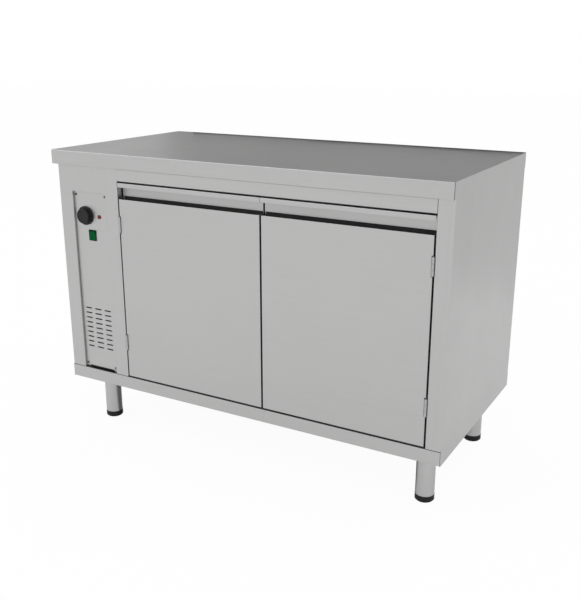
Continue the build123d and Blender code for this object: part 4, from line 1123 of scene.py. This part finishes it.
@dataclass
class Door:
    """One door: skins, head, grip plate, core and its hinge leaves.

    Attributes:
        side: left or right.
    """

    side: str

    def build(self) -> None:
        """Dresses the door's sheets."""
        name = f"{self.side}_door_"
        FinishShop.dress("steel_along_x", name + "outer_skin", name + "head")
        # the grip plate takes the darker steel: painted shade of the pull recess
        FinishShop.dress("grip_shaded_steel", name + "grip_plate")
        FinishShop.dress("steel_along_z", name + "inner_skin")
        # near-black core: painted shade, seen through the grip slot
        FinishShop.dress("painted_shade_fleece", name + "insulation")
        FinishShop.dress("hinge_steel", name + "hinge_leaves")


@dataclass
class HingeFrames:
    """Cabinet-side hinge leaves and their pins."""

    def build(self) -> None:
        """Dresses the leaves and pins."""
        FinishShop.dress("hinge_steel", "hinge_frame_leaves", "hinge_pins")


@dataclass
class RailJoints:
    """Black strips of painted shade in the gaps: between the bottom rail and the stiles, under the doors and
    behind the control panel's bottom edge.

    Attributes:
        beads: start, end and top of what lies along the rail's top bend: four beads at the joints and the
            strip under the doors.
        panel_strip: lowest and highest corner of the strip behind the control panel's bottom edge.
        under: height of the beads' lower edge.
        upright: width of the bead at the rail's right end.
        upright_lift: how far its foot stands above the rail's lower edge.
        back: how far behind the rail's face the lying ones start and end.
        proud: how far the upright one stands out of the rail's face.
        edge: rounding of the beads' edges.
    """

    beads: tuple[Point, ...] = ((-0.583, -0.535, 0.192), (-0.5348, -0.4132, 0.1922), (-0.413, -0.3686, 0.192),
                                (-0.3684, 0.5595, 0.1941), (0.5597, 0.599, 0.192))
    panel_strip: tuple[Point, Point] = ((-0.5348, -0.2869, 0.1921), (-0.4132, -0.2859, 0.1995))
    under: float = 0.1901
    upright: float = 0.0008
    upright_lift: float = 0.0004
    back: tuple[float, float] = (0.0001, 0.0012)
    proud: float = 0.0001
    edge: float = 0.00005

    def build(self) -> None:
        """Makes the beads and the strips as one piece."""
        low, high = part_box("bottom_rail")
        front, rear = low.y + self.back[0], low.y + self.back[1]
        corners = [((start, front, self.under), (end, rear, top)) for start, end, top in self.beads]
        corners.append(self.panel_strip)
        corners.append(((high.x - self.upright, low.y - self.proud, low.z + self.upright_lift),
                        (high.x, rear, self.beads[0][2])))
        made = [Bench.slab("bead", *pair) for pair in corners]
        gap_shade = Bench.join(made, "rail_gap_shade")
        Bench.soften(gap_shade, self.edge, segments=1)
        # the strips are black: painted shade of the gaps round the bottom rail and the control panel
        Bench.hand_over(gap_shade, "cabinet", "black_plastic", "black_plastic")


@dataclass
class SlottedSheet:
    """A pattern of round-ended slots that is punched through a sheet.

    Attributes:
        length: a slot's length, along X.
        width: a slot's width.
        places: the slots' centres.
        depth: how far the punch reaches along Y, well past the sheet.
        sides: number of sides of the punch's round ends.
    """

    length: float
    width: float
    places: Sequence[Point]
    depth: float = 0.004
    sides: int = 16

    def punch(self, sheet: bpy.types.Object) -> None:
        """Cuts the slots out of a sheet.

        Args:
            sheet: the sheet.
        """
        first = self.places[0]
        punch = Bench.disc("slot_punch", self.width / 2, self.depth, first, "Y", self.sides)
        reach = (self.length - self.width) / 2
        for way in (-1, 1):
            Bench.edit(punch, "VERT")
            Bench.pick("verts", lambda v: way * (v.co.x - first[0]) > NEAR)
            Bench.move((way * reach, 0.0, 0.0))
        punches = [punch]
        for place in self.places[1:]:
            punches.append(Bench.copy(punch, "slot_punch", tuple(b - a for a, b in zip(first, place))))
        Bench.cut(sheet, Bench.join(punches, "slot_punches"))


@dataclass
class ControlPanel:
    """The control panel's sheet, and what is behind it.

    Attributes:
        lift: how much higher the sheet's sheared bottom edge lies than its blank.
        slot_size: a ventilation slot's length and height.
        slot_pitch: spacing of the slots across and up.
        slot_grid: number of slots across and up.
        slots_centre: middle of the slots, across and up.
        round_holes: what passes a round hole, and how much larger the hole is all round.
        hole_sides: number of sides of a round hole.
        switch_lap: how far the switch's frame laps over its cut-out.
        reach: how far a cut-out reaches past the sheet's faces.
        edge: rounding of the cut edges.
    """

    lift: float = 0.0015
    slot_size: tuple[float, float] = (0.0255, 0.004)
    slot_pitch: tuple[float, float] = (0.0375, 0.015)
    slot_grid: tuple[int, int] = (3, 9)
    slots_centre: tuple[float, float] = (-0.474, 0.3215)
    round_holes: tuple[tuple[str, float], ...] = (("thermostat_spindle", 0.0022), ("pilot_lamp_lens", 0.0008))
    hole_sides: int = 40
    switch_lap: float = 0.0008
    reach: float = 0.002
    edge: float = 0.00025

    def slot_places(self, depth: float) -> list[Point]:
        """Lays out the slots.

        Args:
            depth: the Y at which the sheet's middle lies.

        Returns:
            The slots' centres, row by row.
        """
        across, up = (
            [centre + (index - (count - 1) / 2) * pitch for index in range(count)]
            for centre, count, pitch in zip(self.slots_centre, self.slot_grid, self.slot_pitch)
        )
        return [(x, depth, z) for z in up for x in across]

    def build(self) -> None:
        """Cuts the sheet, with slots and holes, and dresses what is behind it."""
        low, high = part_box("control_panel")
        low.z += self.lift
        sheet = Bench.slab("control_panel_sheet", low, high)
        depth = (low.y + high.y) / 2
        SlottedSheet(*self.slot_size, self.slot_places(depth)).punch(sheet)
        for node, room in self.round_holes:
            a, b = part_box(node)
            x, _, z = middle(a, b)
            Bench.cut(sheet, Bench.disc("hole", (b.x - a.x) / 2 + room, 2 * self.reach, (x, depth, z), "Y",
                                        self.hole_sides))
        a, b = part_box("switch_housing")
        lap = self.switch_lap
        Bench.cut(sheet, Bench.slab("hole", (a.x + lap, low.y - self.reach, a.z + lap),
                                    (b.x - lap, high.y + self.reach, b.z - lap)))
        Bench.soften(sheet, self.edge)
        Bench.hand_over(sheet, "cabinet", "stainless", "steel_along_x", "control_panel")
        FinishShop.dress("turned_brass", "thermostat_spindle")
        FinishShop.dress("ivory_plastic", "thermostat_body", "terminal_block")
        FinishShop.dress("black_plastic", "cable_gland", "gland_locknut")
        FinishShop.dress("copper_tube", "temperature_sensor")


@dataclass
class ThermostatKnob:
    """The thermostat's knob: skirt, shoulder, tapered grip and a rounded face with a shallow dish.

    Attributes:
        skirt: height of the straight skirt.
        inset: how far the grip stands in from the skirt.
        shoulder: height of the slope at the grip's foot, and how much it narrows.
        taper: how much smaller the face is than the shoulder.
        rim: width of the face's rim.
        hollow: depth of the face inside its rim, and how much it narrows.
        dish: further rings of the face: how far each lies in, and how deep.
        edge: rounding of the edges.
        sides: number of sides.
    """

    skirt: float = 0.004
    inset: float = 0.0050
    shoulder: tuple[float, float] = (0.0006, 0.985)
    taper: float = 0.0008
    rim: float = 0.0026
    hollow: tuple[float, float] = (0.0005, 0.97)
    dish: tuple[tuple[float, float], ...] = ((0.008, 0.0003), (0.006, 0.0002))
    edge: float = 0.0012
    sides: int = 72

    def build(self) -> None:
        """Turns the knob."""
        low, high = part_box("thermostat_knob")
        x, _, z = middle(low, high)
        radius = (high.x - low.x) / 2
        front = high.y - self.skirt
        centre = (x, (high.y + front) / 2, z)
        lathe = Lathe("thermostat_knob_cap", radius, self.skirt, centre, "Y", self.sides)
        lathe.end(-1)
        Bench.inset(self.inset)
        lathe.step(-self.shoulder[0], self.shoulder[1])
        lathe.step(low.y - front + self.shoulder[0], 1.0 - self.taper / (radius - self.inset))
        Bench.inset(self.rim)
        lathe.step(*self.hollow)
        for ring, depth in self.dish:
            Bench.inset(ring)
            lathe.push(depth)
        Bench.soften(lathe.piece, self.edge, segments=4, sharp=50.0)
        Bench.hand_over(lathe.piece, "thermostat_knob", "black_plastic", "knob_plastic", "thermostat_knob")


@dataclass
class PilotLamp:
    """The pilot lamp: a bezel with its barrel, and a domed lens.

    Attributes:
        bezel: the bezel's thickness.
        barrel_inset: how far the barrel lies in from the bezel's rim.
        well: how far the lens's well lies in, and how deep it is.
        edge: rounding of the bezel's edges.
        collar: length of the lens's straight part.
        dome: angle in degrees that the dome turns through.
        steps: number of rings in the dome.
        sides: number of sides of both.
    """

    bezel: float = 0.0015
    barrel_inset: float = 0.001
    well: tuple[float, float] = (0.0014, 0.0012)
    edge: float = 0.0003
    collar: float = 0.0028
    dome: float = 80.0
    steps: int = 5
    sides: int = 40

    def body(self) -> None:
        """Turns the bezel and its barrel."""
        low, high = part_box("pilot_lamp_body")
        x, _, z = middle(low, high)
        back = low.y + self.bezel
        centre = (x, (low.y + back) / 2, z)
        lathe = Lathe("pilot_lamp_bezel", (high.x - low.x) / 2, self.bezel, centre, "Y", self.sides)
        lathe.end(1)
        Bench.inset(self.barrel_inset)
        lathe.step(high.y - back)
        lathe.end(-1)
        Bench.inset(self.well[0])
        lathe.step(self.well[1])
        Bench.soften(lathe.piece, self.edge)
        Bench.hand_over(lathe.piece, "cabinet", "lamp_bezel", "lamp_bezel", "pilot_lamp_body")

    def lens(self) -> None:
        """Turns the lens, on the body's axis, and rounds its face to a dome."""
        low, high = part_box("pilot_lamp_lens")
        x, _, z = middle(*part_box("pilot_lamp_body"))
        centre = (x, high.y - self.collar / 2, z)
        lathe = Lathe("pilot_lamp_dome", (high.x - low.x) / 2, self.collar, centre, "Y", self.sides)
        lathe.end(-1)
        height = high.y - self.collar - low.y
        bends = [step / self.steps * math.radians(self.dome) for step in range(self.steps + 1)]
        for before, bend in zip(bends, bends[1:]):
            lathe.step(-height * (math.sin(bend) - math.sin(before)), math.cos(bend) / math.cos(before))
        Bench.hand_over(lathe.piece, "cabinet", "lamp_red", "lamp_red", "pilot_lamp_lens")

    def build(self) -> None:
        """Builds both."""
        self.body()
        self.lens()


@dataclass
class RockerSwitch:
    """The switch: a framed housing with its well, and a rocker with a creased face.

    Attributes:
        bezel: the frame's thickness.
        rim: width of the frame's rim.
        well: depth of the well.
        body_inset: how far the housing behind the panel lies in from the frame.
        frame_edge: rounding of the frame's edges.
        half: half of the rocker's width and height.
        pivot: the Y at which it pivots.
        reach: how far it stands before and behind the pivot.
        crease: how deep the crease across its face is.
        crease_width: width of the crease's rounding.
        rocker_edge: rounding of the rocker's edges.
        tilt: tilt of the rocker at rest, in degrees.
    """

    bezel: float = 0.002
    rim: float = 0.0013
    well: float = 0.014
    body_inset: float = 0.0010
    frame_edge: float = 0.0003
    half: tuple[float, float] = (0.0111, 0.01335)
    pivot: float = -0.285
    reach: tuple[float, float] = (0.0065, 0.003)
    crease: float = 0.0015
    crease_width: float = 0.0012
    rocker_edge: float = 0.0006
    tilt: float = 8.0

    def housing(self) -> None:
        """Makes the frame with its well, and the housing behind the panel."""
        low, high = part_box("switch_housing")
        back = low.y + self.bezel
        housing = Bench.slab("switch_frame", low, (high.x, back, high.z))
        Bench.edit(housing)
        Bench.pick_front()
        Bench.inset(self.rim)
        Bench.draw_out((0.0, self.well, 0.0))
        Bench.pick("faces", lambda f: f.normal.y > FACING and f.calc_center_median().y < back + NEAR)
        Bench.inset(self.body_inset)
        Bench.draw_out((0.0, high.y - back, 0.0))
        Bench.soften(housing, self.frame_edge, segments=3)
        Bench.hand_over(housing, "cabinet", "black_plastic", "black_plastic", "switch_housing")

    def rocker(self) -> None:
        """Makes the rocker, creases its face and tilts it."""
        x, _, z = middle(*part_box("switch_housing"))
        pivot = self.pivot
        rocker = Bench.slab("rocker_cap", (x - self.half[0], pivot - self.reach[0], z - self.half[1]),
                            (x + self.half[0], pivot + self.reach[1], z + self.half[1]))
        Bench.edit(rocker)
        bpy.ops.mesh.select_all(action="SELECT")
        bpy.ops.mesh.bisect(plane_co=(x, pivot, z), plane_no=(0.0, 0.0, 1.0))
        bpy.ops.mesh.select_mode(type="EDGE")
        face = pivot - self.reach[0]
        Bench.pick("edges", lambda e: all(v.co.y < face + NEAR and abs(v.co.z - z) < NEAR for v in e.verts))
        Bench.move((0.0, self.crease, 0.0))
        bpy.ops.mesh.bevel(offset=self.crease_width, segments=3, affect="EDGES", clamp_overlap=True)
        Bench.soften(rocker, self.rocker_edge, segments=3)
        turn = Matrix.Translation((x, pivot, z)) @ Matrix.Rotation(math.radians(self.tilt), 4, "X")
        rocker.matrix_world = turn @ Matrix.Translation((-x, -pivot, -z))
        Bench.settle(rocker)
        Bench.hand_over(rocker, "switch_rocker", "rocker_green", "rocker_green", "switch_rocker")

    def build(self) -> None:
        """Builds both."""
        self.housing()
        self.rocker()


@dataclass
class Heating:
    """Fan, motor and heaters."""

    def build(self) -> None:
        """Dresses the fan unit."""
        FinishShop.dress("zinc_sheet", "motor_plate", "fan_impeller", "fan_shaft")
        FinishShop.dress("motor_enamel", "fan_motor")
        FinishShop.dress("heater_steel", "heater_strips")


@dataclass
class Fasteners:
    """Screws of the casing and bolts of the legs.

    Attributes:
        pan_radius: radius of a pan head.
        pan_height: its height.
        pan_crown: width of the slope round its top.
        pan_fall: how far that slope falls, as a share of the height.
        pan_rim: share of the radius beyond which a vertex is on the rim.
        pan_edge: rounding of its edges.
        cross_width: width of its cross recess.
        cross_reach: how far the recess reaches from the middle, as a share of the radius.
        cross_depth: how far the recess's cutter reaches before and behind the head's front.
        hexagon_radius: radius of a screw's hexagon.
        bolt_radius: radius of a leg bolt's hexagon.
        hexagon_edge: chamfer of a hexagon.
        front_before: the Y before which a casing screw is a pan head in the front.
        back_behind: the Y behind which it is a hexagon in the back.
    """

    pan_radius: float = 0.0036
    pan_height: float = 0.0016
    pan_crown: float = 0.0008
    pan_fall: float = 0.45
    pan_rim: float = 0.9
    pan_edge: float = 0.0003
    cross_width: float = 0.0010
    cross_reach: float = 0.55
    cross_depth: float = 0.0010
    hexagon_radius: float = 0.0036
    bolt_radius: float = 0.0055
    hexagon_edge: float = 0.0004
    front_before: float = -0.2
    back_behind: float = 0.28

    @staticmethod
    def places(node: str) -> list[tuple[Vector, Vector]]:
        """Finds each separate solid of a group by its loose parts.

        Args:
            node: the group's name.

        Returns:
            Lowest and highest corner of every solid.
        """
        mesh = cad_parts[node].data
        parent = list(range(len(mesh.vertices)))

        def root(index: int) -> int:
            """Follows a vertex to the first one of its solid.

            Args:
                index: the vertex's number.

            Returns:
                The first one's number.
            """
            while parent[index] != index:
                parent[index] = parent[parent[index]]
                index = parent[index]
            return index

        seen: dict[tuple[int, int, int], int] = {}
        for vertex in mesh.vertices:
            key = tuple(round(value * MICRONS) for value in vertex.co)
            parent[vertex.index] = seen.setdefault(key, vertex.index)
        for edge in mesh.edges:
            parent[root(edge.vertices[0])] = root(edge.vertices[1])
        boxes: dict[int, tuple[Vector, Vector]] = {}
        for vertex in mesh.vertices:
            low, high = boxes.get(root(vertex.index), (vertex.co.copy(), vertex.co.copy()))
            boxes[root(vertex.index)] = (Vector(map(min, low, vertex.co)), Vector(map(max, high, vertex.co)))
        return sorted(boxes.values(), key=lambda pair: tuple(pair[0]))

    def pan_head(self, low: Vector, high: Vector) -> bpy.types.Object:
        """Makes a domed pan head with a cross recess, facing -Y.

        Args:
            low: lowest corner of the plain head.
            high: highest corner.

        Returns:
            The head.
        """
        centre = (low + high) / 2
        head = Bench.disc("pan_head", self.pan_radius, self.pan_height, tuple(centre), "Y", sides=32)
        Bench.edit(head)
        Bench.pick_front()
        Bench.inset(self.pan_crown)
        Bench.edit(head, "VERT")
        rim = self.pan_radius * self.pan_rim
        Bench.pick("verts", lambda v: v.co.y < centre.y and (v.co - centre).xz.length > rim)
        Bench.move((0.0, self.pan_height * self.pan_fall, 0.0))
        Bench.soften(head, self.pan_edge, segments=3)
        half, reach = self.cross_width / 2, self.pan_radius * self.cross_reach
        arms = [
            Bench.slab("cross", (centre.x - across, low.y - self.cross_depth, centre.z - up),
                       (centre.x + across, low.y + self.cross_depth, centre.z + up))
            for across, up in ((reach, half), (half, reach))
        ]
        for arm in arms:
            Bench.cut(head, arm)
        return head

    def hex_head(self, low: Vector, high: Vector, along: str, radius: float) -> bpy.types.Object:
        """Makes a chamfered hexagon head in the space of a plain one.

        Args:
            low: lowest corner of the plain head.
            high: highest corner.
            along: the screw's axis.
            radius: the hexagon's radius.

        Returns:
            The head.
        """
        axis = "XYZ".index(along)
        head = Bench.disc("hex_head", radius, high[axis] - low[axis], tuple((low + high) / 2), along, sides=6)
        Bench.soften(head, self.hexagon_edge)
        return head

    def group(self, node: str, name: str, shape: Callable[[Vector, Vector], tuple]) -> None:
        """Builds the heads of one node and hands them over as one piece.

        Args:
            node: the node that they stand for.
            name: the piece's name.
            shape: given a solid's corners, returns its kind and the function that makes the first one.
        """
        heads = []
        first: dict[str, tuple[bpy.types.Object, Vector]] = {}
        for low, high in self.places(node):
            kind, make = shape(low, high)
            centre = (low + high) / 2
            if kind in first:
                head, origin = first[kind]
                heads.append(Bench.copy(head, "head", tuple(centre - origin)))
            else:
                first[kind] = (make(), centre)
                heads.append(first[kind][0])
        # all heads take the near-black screw finish: painted shade of the recesses
        Bench.hand_over(Bench.join(heads, name), "cabinet", "screw_steel", "screw_steel", node)

    def casing_shape(self, low: Vector, high: Vector) -> tuple[str, Callable[[], bpy.types.Object]]:
        """Tells which head a casing screw has.

        Args:
            low: lowest corner of its solid.
            high: highest corner.

        Returns:
            Its kind, and the function that makes the head.
        """
        depth = ((low + high) / 2).y
        if depth < self.front_before:
            return "front", lambda: self.pan_head(low, high)
        kind, along = ("back", "Y") if depth > self.back_behind else ("guard", "X")
        return kind, lambda: self.hex_head(low, high, along, self.hexagon_radius)

    def bolt_shape(self, low: Vector, high: Vector) -> tuple[str, Callable[[], bpy.types.Object]]:
        """Tells which head a leg bolt has.

        Args:
            low: lowest corner of its solid.
            high: highest corner.

        Returns:
            Its kind, and the function that makes the head.
        """
        return "bolt", lambda: self.hex_head(low, high, "Z", self.bolt_radius)

    def build(self) -> None:
        """Builds every head."""
        self.group("casing_screws", "casing_screw_heads", self.casing_shape)
        self.group("leg_bolts", "leg_bolt_heads", self.bolt_shape)


@dataclass
class Leg:
    """One leg with its foot.

    Attributes:
        corner: which corner it stands at.
        sole: thickness of the foot's sole, and how far it lies in from the pad's rim.
        pad: how far each step of the pad rises, and how far it lies in from the rim.
        rim_lift: length of the pad's last straight part, below the rim.
        pad_height: height of the pad, up to the stud.
        stud_radius: radius of the foot's stud.
        thread_pitch: pitch of its thread.
        thread_depth: depth of its thread.
        thread_start: height from which turns of thread are counted.
        cup_height: how far the foot's rim stands up round the tube's end.
        cup_wall: thickness of that rim.
        sides: number of sides of the foot.
        weld_radius: half the thickness of the weld round the tube's top.
        weld_ring: radius of the ring on which the weld runs.
        weld_segments: number of segments along the weld and round it.
        weld_drop: how far the weld lies under the plate, as a share of weld_radius.
        weld_ripples: number of ripples in the weld.
        weld_narrow: how much narrower every other half ripple is.
        plate: thickness of the plate on the tube's top.
    """

    corner: str
    sole: tuple[float, float] = (0.001, 0.003)
    pad: tuple[tuple[float, float], ...] = ((0.0022, 0.0), (0.0056, 0.0), (0.0004, 0.0008), (0.0008, 0.0008),
                                            (0.0004, 0.0), (0.0030, 0.0))
    rim_lift: float = 0.0006
    pad_height: float = 0.014
    stud_radius: float = 0.005
    thread_pitch: float = 0.002
    thread_depth: float = 0.0006
    thread_start: float = 0.015
    cup_height: float = 0.0040
    cup_wall: float = 0.00035
    sides: int = 56
    weld_radius: float = 0.0018
    weld_ring: float = 0.0252
    weld_segments: tuple[int, int] = (72, 8)
    weld_drop: float = 0.6
    weld_ripples: int = 24
    weld_narrow: float = 0.985
    plate: float = 0.003

    def foot(self) -> None:
        """Turns the foot: pad with a rounded heel and a groove, and the threaded stud."""
        low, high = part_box("foot_" + self.corner)
        x, y, _ = middle(low, high)
        radius = (high.x - low.x) / 2
        thick, inset = self.sole
        lathe = Lathe("foot_pad_" + self.corner, radius - inset, thick, (x, y, thick / 2), "Z", self.sides)
        lathe.end(1)
        size = radius - inset
        for rise, inset in self.pad:
            lathe.step(rise, (radius - inset) / size)
            size = radius - inset
        lathe.step(self.rim_lift + self.cup_height)
        Bench.inset(self.cup_wall)
        lathe.step(-self.cup_height)
        Bench.inset(radius - self.cup_wall - self.stud_radius)
        thin = (self.stud_radius - self.thread_depth) / self.stud_radius
        turns = int((high.z - self.thread_start) / self.thread_pitch)
        half = (high.z - self.pad_height) / turns / 2
        for _ in range(turns):
            lathe.step(half, thin)
            lathe.step(half, 1 / thin)
        name = "foot_" + self.corner
        Bench.hand_over(lathe.piece, name, "black_plastic", "foot_plastic", name)

    def weld(self) -> None:
        """Runs the weld bead round the top of the tube, under its plate."""
        x, y, _ = middle(*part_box("foot_" + self.corner))
        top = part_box("leg_" + self.corner)[1].z - self.plate
        along, round_it = self.weld_segments
        Bench.clear()
        bpy.ops.mesh.primitive_torus_add(location=(x, y, top - self.weld_radius * self.weld_drop),
                                         major_radius=self.weld_ring, minor_radius=self.weld_radius,
                                         major_segments=along, minor_segments=round_it)
        bead = bpy.context.object
        bead.name = "leg_weld_" + self.corner
        Bench.settle(bead)
        Bench.edit(bead, "VERT")
        ripple = 2 * math.pi / self.weld_ripples
        Bench.pick("verts", lambda v: math.atan2(v.co.y - y, v.co.x - x) % ripple < ripple / 2)
        narrow = (self.weld_narrow, self.weld_narrow, 1.0)
        bpy.ops.transform.resize(value=narrow, center_override=(x, y, top))
        Bench.hand_over(bead, "cabinet", "stainless", "leg_steel")

    def build(self) -> None:
        """Builds the foot and the weld, and dresses the tube."""
        self.foot()
        self.weld()
        FinishShop.dress("leg_steel", "leg_" + self.corner)


# ------------------------------------------------------------------ studio

@dataclass(frozen=True)
class Card:
    """A plain card that only reflections see.

    Attributes:
        name: the card's name.
        centre: its middle.
        width: its width.
        height: its height.
        grey: its brightness.
        turn: its turn about the vertical, in degrees.
        tilt: its tilt from lying flat, in degrees.
    """

    name: str
    centre: Point
    width: float
    height: float
    grey: float
    turn: float = 0.0
    tilt: float = 0.0

    def stand(self) -> None:
        """Puts the card in the studio."""
        Bench.clear()
        turn = (math.radians(self.tilt), 0.0, math.radians(self.turn))
        bpy.ops.mesh.primitive_plane_add(size=1.0, location=self.centre, rotation=turn)
        card = bpy.context.object
        card.name = self.name
        card.scale = (self.width, self.height, 1.0)
        material = bpy.data.materials.new(self.name + "_paper")
        w = Wiring.of(material)
        w.add("ShaderNodeOutputMaterial", {"Surface": w.glow(self.grey)})
        card.data.materials.append(material)
        for sight in ("camera", "diffuse", "shadow", "transmission"):
            setattr(card, "visible_" + sight, False)


@dataclass(frozen=True)
class Lamp:
    """A soft square lamp.

    Attributes:
        name: the lamp's name.
        place: where it hangs.
        target: what it faces.
        size: its side.
        power: its power in watts.
    """

    name: str
    place: Point
    target: Point
    size: float
    power: float

    def hang(self) -> None:
        """Puts the lamp in the studio."""
        data = bpy.data.lights.new(self.name, "AREA")
        data.size = self.size
        data.energy = self.power
        lamp = bpy.data.objects.new(self.name, data)
        lamp.location = self.place
        lamp.rotation_euler = (Vector(self.target) - Vector(self.place)).to_track_quat("-Z", "Y").to_euler()
        bpy.context.scene.collection.objects.link(lamp)


@dataclass
class Studio:
    """Camera, pale floor, white surround, cards and soft lamps.

    Attributes:
        camera_place: where the camera stands.
        azimuth: how far it stands round to the right, in degrees.
        elevation: how far it looks down, in degrees.
        lens: its focal length in millimetres.
        sensor: width of its sensor in millimetres.
        sight: how far it sees.
        ambient: strength of the surround on what scatters light.
        floor_size: the floor's side.
        floor_grey: brightness of the floor's paint.
        floor_white: share of plain white in the floor that the camera sees.
        floor_gleam: the same share where the floor is seen in a reflection.
        cards: what reflections see, in steel and in the worktop's back edge; the ones under the cabinet and
            behind the back edge are painted shade.
        lamps: the lamps.
    """

    camera_place: Point = (1.16975, -2.02767, 1.12871)
    azimuth: float = 29.664
    elevation: float = 17.165
    lens: float = 49.515
    sensor: float = 36.0
    sight: float = 60.0
    ambient: float = 1.0
    floor_size: float = 40.0
    floor_grey: float = 0.84
    floor_white: float = 0.95
    floor_gleam: float = 0.4
    cards: tuple[Card, ...] = (
        Card("back_card", (-1.33, 4.73, 2.2), 4.6, 4.4, 0.345, turn=20.0, tilt=90.0),
        Card("left_back_card", (-4.43, 3.60, 2.2), 2.0, 4.4, 0.60, turn=20.0, tilt=90.0),
        # painted dark reflection: a black card just behind the worktop, which its back edge's bend reflects
        # as a dark line
        Card("back_edge_shade_card", (0.03, 0.304, 0.8515), 1.14, 0.013, 0.0, tilt=90.0),
        # painted shade: a dark card standing in for the shadowed floor under the cabinet, seen only in
        # reflections, mostly in the legs
        Card("under_card", (0.0, 0.0, 0.001), 0.98, 0.40, 0.15),
        Card("side_card", (2.6, 3.5, 0.6), 3.0, 1.2, 0.74, turn=-29.0, tilt=90.0),
        Card("side_floor_card", (2.2, 2.7, 0.002), 3.0, 2.6, 0.78, turn=-29.0),
        Card("front_floor_card", (-2.6, -5.2, 0.002), 5.0, 3.4, 0.82, turn=-29.0),
        Card("ceiling_card", (0.0, -0.4, 3.4), 5.0, 4.4, 0.45),
    )
    lamps: tuple[Lamp, ...] = (
        Lamp("key_lamp", (-2.0, -3.0, 2.9), (0.0, 0.0, 0.5), 2.6, 30.0),
        Lamp("fill_lamp", (3.0, -1.4, 2.4), (0.2, 0.0, 0.5), 2.2, 12.0),
    )

    def add_camera(self) -> None:
        """Sets up the camera."""
        across = math.radians(self.azimuth)
        down = math.radians(self.elevation)
        level = math.cos(down)
        ahead = Vector((-math.sin(across) * level, math.cos(across) * level, -math.sin(down)))
        data = bpy.data.cameras.new("studio_camera")
        data.lens = self.lens
        data.sensor_width = self.sensor
        data.clip_end = self.sight
        camera = bpy.data.objects.new("studio_camera", data)
        camera.location = self.camera_place
        camera.rotation_euler = ahead.to_track_quat("-Z", "Y").to_euler()
        bpy.context.scene.collection.objects.link(camera)
        bpy.context.scene.camera = camera

    def add_world(self) -> None:
        """Sets up a surround that is white to the eye, in reflections and as light."""
        world = bpy.data.worlds.new("studio_surround")
        bpy.context.scene.world = world
        w = Wiring.of(world)
        path = w.add("ShaderNodeLightPath").outputs
        seen = w.calc("MAXIMUM", path["Is Camera Ray"],
                      w.calc("MAXIMUM", path["Is Glossy Ray"], path["Is Transmission Ray"]))
        soft, white = (
            w.add("ShaderNodeBackground", {"Color": (1.0, 1.0, 1.0, 1.0), "Strength": strength}).outputs[0]
            for strength in (self.ambient, 1.0)
        )
        mixed = w.add("ShaderNodeMixShader", {0: seen, 1: soft, 2: white})
        w.add("ShaderNodeOutputWorld", {0: mixed.outputs[0]})

    def add_floor(self) -> None:
        """Lays the floor: white with a faint share of real shadow, and clear from below."""
        Bench.clear()
        bpy.ops.mesh.primitive_plane_add(size=self.floor_size, location=(0.0, 0.0, 0.0))
        floor = bpy.context.object
        floor.name = "studio_floor"
        material = bpy.data.materials.new("studio_floor_paint")
        w = Wiring.of(material)
        path = w.add("ShaderNodeLightPath").outputs
        direct = w.calc("MAXIMUM", path["Is Camera Ray"], path["Is Transmission Ray"])
        share = w.calc("ADD", w.calc("MULTIPLY", direct, self.floor_white),
                       w.calc("MULTIPLY", path["Is Glossy Ray"], self.floor_gleam), clamp=True)
        grey = self.floor_grey
        paint = w.add("ShaderNodeBsdfDiffuse", {"Color": (grey, grey, grey, 1.0)}).outputs[0]
        top = w.add("ShaderNodeMixShader", {0: share, 1: paint, 2: w.glow()}).outputs[0]
        below = w.add("ShaderNodeNewGeometry").outputs["Backfacing"]
        clear = w.add("ShaderNodeBsdfTransparent").outputs[0]
        sided = w.add("ShaderNodeMixShader", {0: below, 1: top, 2: clear})
        w.add("ShaderNodeOutputMaterial", {"Surface": sided.outputs[0]})
        floor.data.materials.append(material)

    def build(self) -> None:
        """Sets up the whole studio."""
        self.add_camera()
        self.add_world()
        self.add_floor()
        for card in self.cards:
            card.stand()
        for lamp in self.lamps:
            lamp.hang()
        bpy.context.scene.view_settings.view_transform = "Standard"


def main() -> None:
    """Builds the cabinet's sub-assemblies in order."""
    logging.basicConfig(level=logging.INFO, format="%(name)s: %(message)s")
    parts = [Shell(), Cavity(), Door("left"), Door("right"), HingeFrames(), RailJoints(), ControlPanel(),
             ThermostatKnob(), PilotLamp(), RockerSwitch(), Heating(), Fasteners()]
    parts += [Leg(corner) for corner in ("front_left", "front_right", "rear_left", "rear_right")]
    for part in parts:
        LOG.info("building %s", type(part).__name__)
        part.build()
    Studio().build()


if __name__ == "__main__":
    main()
